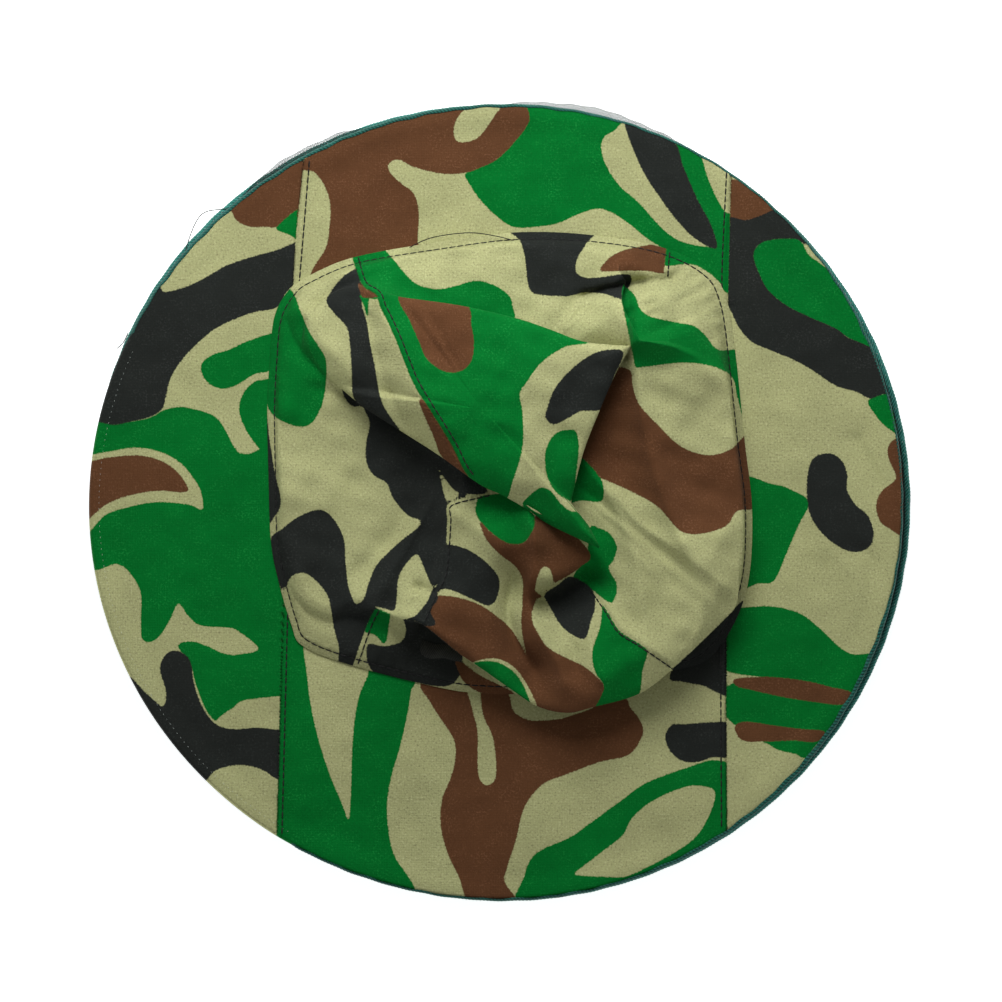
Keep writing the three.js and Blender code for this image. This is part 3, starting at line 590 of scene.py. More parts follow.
def add_bump(tree, shader, height, strength, distance):
    bump = put(tree, "ShaderNodeBump", {"Height": height, "Strength": strength, "Distance": distance})
    tree.links.new(bump.outputs[0], shader.inputs["Normal"])


def weave_height(tree, place, pitch):
    """The bumps of a plain weave of the given pitch in millimetres, from millimetre coordinates."""
    split = put(tree, "ShaderNodeSeparateXYZ", {0: place})
    turn = math.pi / pitch
    warp = maths(tree, "SINE", maths(tree, "MULTIPLY", split.outputs[0], turn))
    weft = maths(tree, "SINE", maths(tree, "MULTIPLY", split.outputs[1], turn))
    return maths(tree, "ABSOLUTE", maths(tree, "MULTIPLY", warp, weft))


CLOTH_BASE = (0.385, 0.393, 0.188, 1)
INK_COLORS = {"green": (0.001, 0.14, 0.02, 1), "brown": (0.105, 0.045, 0.02, 1),
              "black": (0.018, 0.0205, 0.0185, 1)}
INK_BLEED = 0.18     # millimetres that the inks spread past their outlines


def gray(tree, value):
    return put(tree, "ShaderNodeCombineColor", {0: value, 1: value, 2: value}).outputs[0]


def camo_material():
    """Printed plain-weave cotton: each ink's distance field, fuzzed by the yarns, cuts its patches."""
    material, tree, shader = new_material("camo_cotton")
    place = put(tree, "ShaderNodeUVMap", uv_map="cloth").outputs[0]
    yarn = noise(tree, place, 2.2, 2.0, 0.6)
    grain = noise(tree, place, 1.15, 2.0, 0.65)
    warp = noise(tree, stretched(tree, place, (1.9, 0.3, 1)), 1.0, 2.0, 0.6)
    weft = noise(tree, stretched(tree, place, (0.3, 1.9, 1)), 1.0, 2.0, 0.6)
    cloud = noise(tree, place, 0.035, 3.0, 0.6)
    wear = noise(tree, place, 0.11, 4.0, 0.65)
    fuzz = maths(tree, "MULTIPLY", maths(tree, "SUBTRACT", grain, 0.5), 0.9)

    slub = remap(tree, maths(tree, "MAXIMUM", warp, weft), 0.54, 0.74)
    color = mix_color(tree, maths(tree, "MULTIPLY", slub, 0.5), CLOTH_BASE, (0.3, 0.305, 0.14, 1))
    color = mix_color(tree, remap(tree, grain, 0.55, 0.7, 0, 0.75), color, (0.54, 0.55, 0.3, 1))
    color = mix_color(tree, remap(tree, grain, 0.44, 0.3, 0, 0.8), color, (0.2, 0.2, 0.1, 1))
    for ink in INKS:
        edge = put(tree, "ShaderNodeAttribute", attribute_name=ink, attribute_type="GEOMETRY")
        cover = remap(tree, maths(tree, "ADD", edge.outputs["Fac"], fuzz), INK_BLEED + 0.2, INK_BLEED - 0.2)
        tint = INK_COLORS[ink]
        pale = tuple(min(1, c * 1.55 + 0.008) for c in tint[:3]) + (1,)
        deep = tuple(c * 0.7 for c in tint[:3]) + (1,)
        dyed = mix_color(tree, maths(tree, "MULTIPLY", slub, 0.55), tint, deep)
        chalk = maths(tree, "MULTIPLY", remap(tree, grain, 0.52, 0.66),
                      remap(tree, wear, 0.42, 0.66, 0.12, 1))
        dyed = mix_color(tree, chalk, dyed, pale)
        color = mix_color(tree, cover, color, dyed)
    shade = maths(tree, "MULTIPLY", remap(tree, cloud, 0.3, 0.7, 0.92, 1.07),
                  remap(tree, yarn, 0.3, 0.7, 0.93, 1.07))
    color = mix_color(tree, 1.0, color, gray(tree, shade), "MULTIPLY")
    tree.links.new(color, shader.inputs["Base Color"])
    tree.links.new(remap(tree, yarn, 0.3, 0.7, 0.85, 0.98), shader.inputs["Roughness"])
    shader.inputs["Specular IOR Level"].default_value = 0.03
    shader.inputs["Sheen Weight"].default_value = 0.02
    shader.inputs["Sheen Roughness"].default_value = 0.5
    height = maths(tree, "ADD", maths(tree, "MULTIPLY", weave_height(tree, place, 0.7), 0.5), grain)
    add_bump(tree, shader, height, 0.5, 0.0003)
    return material


def cloth_material(name, dark, light, pitch):
    """A plain dyed tape or cloth: diagonal twill, worn lighter on its ridges."""
    material, tree, shader = new_material(name)
    place = put(tree, "ShaderNodeUVMap", uv_map="cloth").outputs[0]
    split = put(tree, "ShaderNodeSeparateXYZ", {0: place})
    diagonal = maths(tree, "ADD", split.outputs[0], split.outputs[1])
    twill = maths(tree, "SINE", maths(tree, "MULTIPLY", diagonal, 2 * math.pi / pitch))
    yarn = noise(tree, place, 2.2, 3.0, 0.65)
    ridge = remap(tree, maths(tree, "ADD", maths(tree, "MULTIPLY", twill, 0.35), yarn), 0.2, 0.9)
    color = mix_color(tree, ridge, dark, light)
    worn = remap(tree, noise(tree, place, 0.16, 3.0, 0.7), 0.5, 0.75, 0, 0.4)
    color = mix_color(tree, worn, color, tuple(min(1, c * 1.4 + 0.008) for c in light[:3]) + (1,))
    tree.links.new(color, shader.inputs["Base Color"])
    tree.links.new(remap(tree, yarn, 0.3, 0.7, 0.75, 0.95), shader.inputs["Roughness"])
    shader.inputs["Specular IOR Level"].default_value = 0.2
    shader.inputs["Sheen Weight"].default_value = 0.05
    add_bump(tree, shader, ridge, 0.5, 0.0003)
    return material


def net_material():
    """Fine black knitted net: thin threads with see-through holes between them."""
    material, tree, shader = new_material("black_net")
    place = put(tree, "ShaderNodeUVMap", uv_map="cloth").outputs[0]
    split = put(tree, "ShaderNodeSeparateXYZ", {0: place})
    pitch = 1.5
    along = maths(tree, "MULTIPLY", split.outputs[0], math.pi / pitch)
    across = maths(tree, "MULTIPLY", split.outputs[1], math.pi / pitch)
    first = maths(tree, "ABSOLUTE", maths(tree, "SINE", maths(tree, "ADD", along, across)))
    second = maths(tree, "ABSOLUTE", maths(tree, "SINE", maths(tree, "SUBTRACT", along, across)))
    nearest = maths(tree, "MINIMUM", first, second)
    thread = remap(tree, nearest, 0.3, 0.42, 1, 0)
    yarn = noise(tree, place, 3.0, 2.0, 0.6)
    color = mix_color(tree, yarn, (0.005, 0.006, 0.006, 1), (0.03, 0.033, 0.031, 1))
    tree.links.new(color, shader.inputs["Base Color"])
    shader.inputs["Specular IOR Level"].default_value = 0.15
    tree.links.new(thread, shader.inputs["Alpha"])
    tree.links.new(remap(tree, yarn, 0.3, 0.7, 0.35, 0.6), shader.inputs["Roughness"])
    add_bump(tree, shader, nearest, 0.4, 0.0002)
    return material


def thread_material(name, dark, light):
    material, tree, shader = new_material(name)
    place = put(tree, "ShaderNodeTexCoord").outputs["Object"]
    twist = noise(tree, place, 2500.0, 2.0, 0.6)
    color = mix_color(tree, twist, dark, light)
    tree.links.new(color, shader.inputs["Base Color"])
    tree.links.new(remap(tree, twist, 0.3, 0.7, 0.5, 0.75), shader.inputs["Roughness"])
    shader.inputs["Specular IOR Level"].default_value = 0.2
    return material


def wire_material():
    """Drawn spring steel with a little dark oil staining."""
    material, tree, shader = new_material("spring_wire")
    place = put(tree, "ShaderNodeTexCoord").outputs["Object"]
    stain = noise(tree, place, 90.0, 4.0, 0.6)
    color = mix_color(tree, remap(tree, stain, 0.45, 0.7), (0.55, 0.56, 0.57, 1), (0.24, 0.22, 0.2, 1))
    tree.links.new(color, shader.inputs["Base Color"])
    tree.links.new(remap(tree, stain, 0.3, 0.7, 0.28, 0.5), shader.inputs["Roughness"])
    shader.inputs["Metallic"].default_value = 1.0
    return material


# ---------------------------------------------------------------- camera, light and floor

PICTURE_SPAN = 417.5         # millimetres that the square picture covers at the brim
PICTURE_MIDDLE = (0.4, -0.4)
CAMERA_HEIGHT = 6000.0
SENSOR = 36.0


def build_camera():
    data = bpy.data.cameras.new("camera")
    data.sensor_width = SENSOR
    data.lens = SENSOR * (CAMERA_HEIGHT - BRIM_TOP) / PICTURE_SPAN
    data.clip_end = 30
    camera = bpy.data.objects.new("camera", data)
    camera.location = (PICTURE_MIDDLE[0] * MM, PICTURE_MIDDLE[1] * MM, CAMERA_HEIGHT * MM)
    bpy.context.scene.collection.objects.link(camera)
    bpy.context.scene.camera = camera


def build_light():
    scene = bpy.context.scene
    scene.view_settings.view_transform = "Standard"
    world = bpy.data.worlds.new("studio")
    bpy.context.scene.world = world
    world.use_nodes = True
    tree = world.node_tree
    # the studio wall is white near the horizon and dims towards the ceiling
    direction = put(tree, "ShaderNodeTexCoord").outputs["Generated"]
    up = put(tree, "ShaderNodeSeparateXYZ", {0: direction}).outputs[2]
    tree.links.new(remap(tree, up, 0.12, 0.4, 1.0, 0.22), tree.nodes["Background"].inputs[1])
    tree.nodes["Background"].inputs[0].default_value = (1, 1, 1, 1)
    # each lamp: place in metres, size, watts. The key stands behind the hat.
    lamps = {
        "key": ((-0.03, 0.46, 0.45), 0.34, 4.0),
        "fill": ((-0.6, -0.5, 1.2), 0.9, 0.8),
    }
    for name, (place, size, power) in lamps.items():
        data = bpy.data.lights.new(name, "AREA")
        data.size = size
        data.energy = power
        lamp = bpy.data.objects.new(name, data)
        lamp.location = place
        lamp.visible_camera = False
        lamp.rotation_euler = (Vector((0, 0, 0.02)) - Vector(place)).to_track_quat("-Z", "Y").to_euler()
        scene.collection.objects.link(lamp)


def build_floor():
    material, tree, shader = new_material("floor")
    shader.inputs["Base Color"].default_value = (0.93, 0.93, 0.93, 1)
    shader.inputs["Roughness"].default_value = 0.9
    shader.inputs["Specular IOR Level"].default_value = 0.0
    shader.inputs["Emission Color"].default_value = (1, 1, 1, 1)
    shader.inputs["Emission Strength"].default_value = 0.8
    half = 3000
    corners = [(-half, -half, -0.2), (half, -half, -0.2), (half, half, -0.2), (-half, half, -0.2)]
    floor = make_mesh("floor", corners, [(0, 1, 2, 3)], material)
    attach(floor, "neck")      # so that the floor stays under the veil when the veil hangs down


# ---------------------------------------------------------------- the crown

CROWN_STEPS = 720
FOLD_STEPS = 14       # points across the cloth tucked under each fold
WEDGE_SPAN = (253, 322)      # degrees, where the front bulge hides a wedge of cloth
BAND_COVER = 3.4      # the cloth stays this far above the brim where it can, over the sweatband
SEAM_RIPPLES = 96     # gathers of the cloth round the base seam
WELT = 0.9            # how far the turned-in base edge stands up from the brim
STITCH_INSET = 3.1    # the base topstitch runs this far in from the edge

# How far each fold's upper layer reaches over the lower one, by direction. Under zero the cloth
# runs on with no fold.
TOP_TUCK = [(10, 11), (23, 9), (60, 9), (100, 8), (122, 2), (133, -4), (166, -3), (176, 5), (192, 11),
            (215, 13), (250, 11), (278, 8), (296, 5), (303, 9), (330, 12)]
LOW_TUCK = [(5, -4), (20, -4), (25, 3), (32, 9), (39, 8), (43, 2), (48, -4), (235, -4), (242, -1),
            (250, -0.5), (256, 4), (266, 9), (280, 12), (300, 12), (311, 8), (319, 2), (325, -4), (345, -4)]

# Heights above the brim of the two folds' upper edges and of the cloth tucked under them
TOP_EDGE_HEIGHT = [(0, 25), (23, 27), (60, 24), (100, 20), (125, 15), (150, 11), (168, 12), (185, 15),
                   (205, 17), (235, 18), (266, 19), (296, 17), (303, 17), (330, 22)]
TOP_UNDER_HEIGHT = [(0, 9), (23, 10), (60, 15), (100, 15), (125, 12.5), (150, 9), (168, 9.5), (185, 9.5),
                    (205, 10), (235, 11), (266, 12), (296, 12), (303, 10), (330, 9)]
LOW_EDGE_HEIGHT = [(0, 6), (12, 9), (23, 18), (35, 17), (43, 10), (50, 6), (120, 6), (200, 6), (235, 6),
                   (242, 10), (251, 17), (258, 18), (270, 14), (285, 10), (300, 7), (312, 6), (321, 6),
                   (330, 5)]
LOW_UNDER_HEIGHT = [(0, 5), (12, 7), (23, 14), (35, 11), (43, 7), (50, 5), (120, 5), (200, 5), (235, 5),
                    (240, 6), (249, 9), (258, 5.5), (270, 6), (285, 6), (300, 6), (312, 5), (321, 4),
                    (330, 4)]
FLAP_MIDDLE_HEIGHT = 30.0

# Creases of the cloth: line, height (a valley where negative), how far the cloth slopes away to
# the left and to the right of the line's run, how rounded the crease is, and the layer it is on
CREASES = [
    # right side: the long ridge beside the flap, the one before it, and the folds off them
    ([(75.5, -17), (68, 3), (62, 22), (58, 45), (55.5, 62), (55, 74)], 15.0, 9, 30, 0.4, "low"),
    ([(36, 14), (45.5, 1), (54.5, -17), (59, -40), (60.5, -62)], 7.0, 16, 7, 0.4, "low"),
    ([(62, 84), (76, 86), (96, 78)], 5.0, 6, 30, 1.5, "low"),
    ([(50, -70), (70, -57), (82, -46), (90, -36)], 6.0, 34, 12, 2.0, "low"),
    ([(48, 2), (58, -10), (75.5, -22), (94, -36)], 3.4, 7, 3, 0.4, "low"),
    ([(75.5, -18), (83, -33), (84, -48), (80, -62)], 2.4, 4, 2.5, 0.5, "low"),
    ([(90, -38), (86, -50), (76, -62)], 1.4, 3, 3, 0.8, "low"),
    ([(64, 52), (78, 44), (92, 46)], 1.2, 7, 7, 2.0, "low"),
    ([(72, 18), (84, 4), (96, 2)], -1.2, 6, 6, 2.0, "low"),
    ([(96, -10), (88, -22), (90, -34)], 1.2, 4, 4, 1.0, "low"),
    ([(53.5, 78), (53, 70), (52.5, 60)], -6.0, 2.5, 2.5, 0.5, "low"),
    # the crumple at the back right corner
    ([(58.5, 92), (61, 84), (62, 77)], -4.0, 2.2, 1.8, 0.4, "low"),
    ([(64, 92), (67, 84), (68, 76)], 2.0, 3, 3, 0.8, "low"),
    ([(71, 97), (79, 98), (87, 94)], 2.6, 3, 2.5, 0.5, "low"),
    ([(76, 95), (80, 89), (77, 84)], -3.4, 1.8, 1.8, 0.4, "low"),
    ([(84, 89), (81.5, 82), (86, 76), (88.5, 67)], -3.4, 2.6, 1.6, 0.4, "low"),
    ([(72, 84), (78, 78), (80, 70)], 2.0, 4, 4, 0.6, "low"),
    ([(88, 84), (92, 76), (93, 66)], 1.6, 2.5, 3, 0.5, "low"),
    ([(72, 92.5), (62, 91.5), (54, 90), (45, 88), (35, 85.5)], -8.0, 4.0, 1.4, 0.5, "low"),
    ([(52.5, 90), (52, 84), (53, 77)], -4.0, 2, 2, 0.5, "low"),
    # back strip
    ([(35, 84), (31, 79), (27, 72)], 2.6, 3, 2.0, 0.4, "low"),
    ([(34, 83), (43, 82), (52, 80)], 1.6, 3, 3, 0.6, "low"),
    ([(24, 80), (16, 76), (8, 76)], 0.8, 4, 4, 1.5, "low"),
    # the pocket in the front bulge, the sharp ridge beside it and the lit face before it
    ([(14, -34), (24, -31.5), (33, -28), (38, -25)], 3.5, 9, 3, 0.5, "low"),
    ([(17, -42), (24, -41), (31, -38.5), (38, -34)], -11.0, 4, 7, 1.2, "low"),
    ([(19, -47), (27, -46), (34, -42)], -5.0, 5, 5, 1.5, "low"),
    ([(12, -6), (15, -20), (14, -31), (12, -41), (15.5, -54), (23, -66), (27, -76)], 7.0, 12, 5, 0.6, "low"),
    ([(36, -50), (38, -62), (42, -74)], 3.5, 5, 4, 0.6, "low"),
    ([(24, -54), (30, -60), (32, -70)], -3.0, 4, 4, 0.8, "low"),
    ([(45, -44), (52, -54), (60, -60), (72, -68)], 1.6, 4, 4, 0.5, "low"),
    ([(6, -34), (3, -46), (6, -58), (14, -70)], -10.0, 5, 8, 1.0, "low"),
    ([(-22, -40), (-12, -46), (-4, -50)], 3.0, 7, 6, 1.2, "low"),
    ([(-2, -26), (2, -17), (10, -14)], 2.5, 6, 5, 1.5, "low"),
    ([(-20, -4), (-8, -13), (4, -19), (14, -17)], 5.0, 8, 7, 0.9, "low"),
    ([(-1, -13), (8, -9), (15, -12)], 2.5, 4, 3, 0.8, "low"),
    ([(-14, -24), (-8, -38), (-4, -52)], 1.6, 7, 7, 2.0, "low"),
    # left side: soft folds that run out from the flap's left edge
    ([(-26, 4), (-33, -9), (-42, -24), (-51, -38)], 3.2, 6, 7, 1.2, "low"),
    ([(-36, -2), (-46, -16), (-60, -30)], -1.8, 5, 5, 1.5, "low"),
    ([(-28, -14), (-30, -30), (-36, -42)], -2.4, 4, 5, 1.0, "low"),
    ([(-90, -31), (-86, -43), (-80, -50), (-72, -52), (-60, -49), (-46, -45)], -3.4, 4, 5, 0.9, "low"),
    ([(-84, -30), (-79, -40), (-70, -44), (-58, -41)], 2.4, 5, 5, 1.5, "low"),
    ([(-52, -46), (-44, -46), (-36, -40)], 2.0, 3, 3, 0.8, "low"),
    ([(-35, -36), (-27, -38)], -3.6, 2.0, 2.0, 0.5, "low"),
    ([(-48, -47), (-36, -49), (-22, -57), (-8, -68)], 3.0, 9, 3, 0.8, "low"),
    ([(-89, -33), (-80, -44), (-70, -48)], 1.6, 4, 4, 0.8, "low"),
    ([(-92, 6), (-78, -2), (-62, -4)], 1.0, 8, 8, 3.0, "low"),
    ([(-80, 22), (-66, 14), (-58, 4)], -1.2, 7, 7, 2.5, "low"),
    ([(-90, 74), (-84, 64), (-74, 53), (-60, 41)], -2.2, 2.4, 3.4, 0.6, "all"),
    ([(-82, 78), (-74, 66), (-64, 54), (-54, 45)], 2.2, 5, 6, 1.5, "all"),
    # the flap: its seam is a ridge, with soft folds beside it
    ([(-50, 82), (-42.5, 65), (-34.5, 46), (-24, 28), (-16, 13)], 12.0, 40, 12, 0.4, "all"),
    ([(-54, 76), (-50, 56), (-44, 40), (-38, 29)], -2.4, 3, 4, 0.8, "all"),
    ([(-66, 80), (-60, 64), (-56, 50)], 1.2, 5, 5, 1.5, "all"),
    ([(-28, 40), (-14, 34), (4, 32)], 1.5, 7, 7, 1.5, "top"),
    ([(-22, 62), (-8, 44), (2, 20)], -1.0, 8, 8, 2.5, "top"),
    ([(4, 68), (12, 50), (12, 26), (8, 6)], 1.6, 10, 8, 2.5, "top"),
    ([(34, 58), (28, 42), (26, 24)], -1.0, 6, 6, 2.0, "top"),
    ([(16, 8), (26, -6), (38, -16)], 1.6, 4, 4, 0.8, "top"),
]


def crease_lift(spots, line, height, left_reach, right_reach, rounding):
    """How much a crease raises each spot: a ridge whose sides slope off over the given reaches."""
    gap, side = distance_to_line(spots, smooth_line(line, per=5))
    reach = right_reach + (left_reach - right_reach) * ease(side, -1, 1)
    return height * np.exp(-(np.sqrt(gap ** 2 + rounding ** 2) - rounding) / reach)


def hermite(start, start_run, end, end_run, part):
    """Points on a curve from start to end with the given starting and ending directions."""
    t = part[None, :, None]
    a, b = start[:, None, :], end[:, None, :]
    ra, rb = start_run[:, None, :], end_run[:, None, :]
    return ((2 * t ** 3 - 3 * t ** 2 + 1) * a + (t ** 3 - 2 * t ** 2 + t) * ra
            + (3 * t ** 2 - 2 * t ** 3) * b + (t ** 3 - t ** 2) * rb)


def smooth_round(values, width):
    """Averages a periodic list over a few neighbours."""
    kernel = np.hanning(2 * width + 3)[1:-1]
    padded = np.concatenate([values[-width:], values, values[:width]])
    return np.convolve(padded, kernel / kernel.sum(), mode="valid")


def crown_profiles():
    """The crown's cloth as one profile for each direction, from the base seam to the flap's middle.

    Each profile is a list of (radius, height) points. It returns the directions, the profiles and
    the stretch of the profile that each column belongs to."""
    angles = around_circle(CROWN_STEPS)
    base = polar_radius(smooth_line(BASE, closed=True), FLAP_MIDDLE, angles)
    top_loop = np.vstack([smooth_line(part) for part in (FLAP_BACK_EDGE, FLAP_RIGHT_EDGE, FLAP_LEFT_EDGE)])
    low_loop = np.vstack([smooth_line(part) for part in
                          (BULGE_EDGE, SIDE_LINE, SLOT_EDGE, BACK_LINE, LEFT_LINE)])
    top = polar_radius(top_loop, FLAP_MIDDLE, angles)
    low = polar_radius(low_loop, FLAP_MIDDLE, angles)
    top_tuck, low_tuck = keyed(angles, TOP_TUCK), keyed(angles, LOW_TUCK)
    top_fold, low_fold = ease(top_tuck, -1, 4), ease(low_tuck, -1, 4)
    low_under = np.minimum(low - low_tuck, base - STITCH_INSET - 1.5)
    low_under = np.where(low_fold > 0, smooth_round(low_under, 9), low_under)
    top_under = smooth_round(np.minimum(top, low - 3), 15) - top_tuck
    top = np.minimum(top, low - 2.0)

    def knot(radius, height):
        return np.column_stack([radius, np.full_like(radius, BRIM_TOP) + height])

    seam = knot(base, 0.0)
    lip = knot(base - 0.25, WELT)
    stitch = knot(base - STITCH_INSET, WELT - 0.15)
    knots = [knot(low_under, keyed(angles, LOW_UNDER_HEIGHT)), knot(low, keyed(angles, LOW_EDGE_HEIGHT)),
             knot(top_under, keyed(angles, TOP_UNDER_HEIGHT)), knot(top, keyed(angles, TOP_EDGE_HEIGHT)),
             knot(np.zeros_like(base), FLAP_MIDDLE_HEIGHT)]
    folds = [low_fold, low_fold, top_fold, top_fold]
    chain = [stitch] + knots
    up = np.array([0.0, 1.0])
    bends = []
    for index in range(1, 5):
        before, here, after = chain[index - 1], chain[index], chain[index + 1]
        plain = (after - before) * 0.35
        bends.append((plain, folds[index - 1][:, None], np.linalg.norm(after - here, axis=1),
                      np.linalg.norm(here - before, axis=1)))

    roll = 1.6      # millimetres, the radius of a soft fold

    def run(index, ahead):
        plain, fold, after, before = bends[index]
        length = after if ahead else before
        upright = up[None, :] * np.sqrt(6 * roll * np.maximum(length, 1))[:, None]
        side = np.minimum(1, length / np.maximum(np.linalg.norm(plain, axis=1), 0.1))[:, None]
        return (1 - fold) * plain * side + fold * upright

    rise = np.column_stack([np.full_like(base, -3.0), np.full_like(base, 7.0)])
    flat = np.column_stack([-knots[3][:, 0] * 0.8, np.zeros_like(base)])
    # points along each stretch, and a power that crowds them towards its start
    stretches = [(20, 1.0), (FOLD_STEPS, 1.0), (56, 1.15), (FOLD_STEPS, 1.0), (56, 1.25)]
    steps = [np.linspace(0, 1, count, endpoint=False) ** power for count, power in stretches]
    leaving = [rise] + [run(index, True) for index in range(4)]
    arriving = [run(index, False) for index in range(4)] + [flat]
    pieces = [seam[:, None, :], lip[:, None, :]]
    for index, step in enumerate(steps):
        pieces.append(hermite(chain[index], leaving[index], chain[index + 1], arriving[index], step))
    part = np.concatenate([np.full(piece.shape[1], number) for number, piece in enumerate(pieces)])
    return angles, np.concatenate(pieces, axis=1), part


def crown_layers(angles, part):
    """Which fold layer each crown point belongs to: top, wedge (under the bulge) or low."""
    rows, columns = len(angles), len(part)
    first = np.concatenate([[0], np.flatnonzero(np.diff(part)) + 1])
    middle_of_top_fold = first[5] + FOLD_STEPS // 2
    middle_of_low_fold = first[3] + FOLD_STEPS // 2
    column = np.tile(np.arange(columns), rows)
    degrees = np.degrees(np.repeat(angles, columns))
    top = column >= middle_of_top_fold
    wedge = (column < middle_of_low_fold) & (degrees > WEDGE_SPAN[0]) & (degrees < WEDGE_SPAN[1])
    return {"top": top, "wedge": wedge, "low": ~top & ~wedge}


def crown_print(spots, layers):
    fields = blank_print(len(spots))
    sides = {name: side_of(spots, points) for name, points in SEAMS.items()}
    in_front = side_of(spots, BULGE_EDGE)      # positive where the cloth lies inside the bulge's edge
    for ink, layer, cut, outline in CROWN_PRINT:
        edge = inside_distance(spots, smooth_line(outline, closed=True))
        if cut:
            side, seam = cut.split(":")
            edge = np.maximum(edge, sides[seam] * (1 if side == "W" else -1))
        if layer == "wedge":
            edge = np.where(layers["wedge"], edge, np.maximum(edge, in_front))
            chosen = layers["wedge"] | layers["low"]
        elif layer == "all":
            chosen = np.ones(len(spots), bool)
        else:
            chosen = layers[layer]
        lay_ink(fields, ink, np.where(chosen, edge, INK_REACH))
    return fields


def seam_relief(spots, line, welt_side):
    """A sewn seam: a narrow groove, and beside it the slight ridge of the turned-in cloth, to the
    left of the seam's run where welt_side is positive."""
    gap, side = distance_to_line(spots, line_through(line))
    welt = np.where(side * welt_side > 0, 0.45 * np.exp(-((gap - 1.3) / 0.9) ** 2), 0)
    return welt - 0.7 * np.exp(-(gap / 0.5) ** 2)


def build_crown(material):
    angles, profile, part = crown_profiles()
    rows, columns = profile.shape[:2]
    radius, height = profile[..., 0], profile[..., 1]
    spots = polar_spots(radius, angles, FLAP_MIDDLE)
    layers = crown_layers(angles, part)
    lift = np.zeros(len(spots))
    for line, amount, left_reach, right_reach, rounding, layer in CREASES:
        rise = crease_lift(spots, line, amount, left_reach, right_reach, rounding)
        lift += rise if layer == "all" else np.where(layers[layer], rise, 0)
    free = ease(np.tile(np.arange(columns), rows), 3, 12)      # the sewn edge stays put
    lift += 0.8 * soft_noise(spots, 30, 1) + 0.4 * soft_noise(spots, 12, 2)
    ripple = np.sin(np.repeat(angles, columns) * SEAM_RIPPLES + soft_noise(spots, 40, 3) * 2)
    near_seam = ease(np.tile(np.arange(columns), rows), 2, 5) * (1 - free) * 0.5
    z = height.ravel() + lift * free + ripple * near_seam
    for name in CROWN_STITCH:
        chosen = layers["wedge"] if name == "wedge" else ~layers["wedge"]
        z += np.where(chosen, seam_relief(spots, SEAMS[name], 1), 0)
    z = np.maximum(z, BRIM_TOP + np.minimum(height.ravel() - BRIM_TOP, BAND_COVER))
    points = np.column_stack([spots, z])
    faces = grid_faces(rows, columns, wrap_rows=True)
    fields = crown_print(spots, layers)
    centre = len(points)
    points = np.vstack([points, [[FLAP_MIDDLE[0], FLAP_MIDDLE[1], z.reshape(rows, columns)[:, -1].mean()]]])
    fields = {ink: np.append(values, values.reshape(rows, columns)[:, -1].mean())
              for ink, values in fields.items()}
    uv = np.vstack([spots, FLAP_MIDDLE])
    ring = np.arange(rows)
    fan = np.column_stack([ring * columns + columns - 1, ((ring + 1) % rows) * columns + columns - 1,
                           np.full(rows, centre)])
    all_faces = [tuple(face) for face in faces] + [tuple(face) for face in fan]
    crown = make_mesh("crown", points, all_faces, material, fields, uv)
    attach(crown, "hat")
    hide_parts(*CROWN_PANELS)
    return points


# ---------------------------------------------------------------- the brim

BRIM_ROWS = 76
PANEL_SPLIT = 20     # the back panel is counted from this far behind the origin
# How much of the brim's tape shows beyond the cloth, by direction. Where none shows, the tape has
# rolled under and the cloth runs over the edge.
TAPE_SHOW = [(0, 0.5), (20, 0.5), (45, 0.9), (60, 0.7), (85, 1.3), (100, 1.6), (125, 1.5), (145, 1.4),
             (153, 0.7), (160, 0), (235, 0), (242, 0.8), (285, 1.1), (300, 1.6), (318, 2.0), (338, 1.9),
             (352, 0.9)]
EDGE_RISE = 1.7      # the cloth stands this much higher where it goes over the wire


def tape_hidden(angles):
    return 1 - ease(keyed(angles, TAPE_SHOW), 0.1, 0.7)


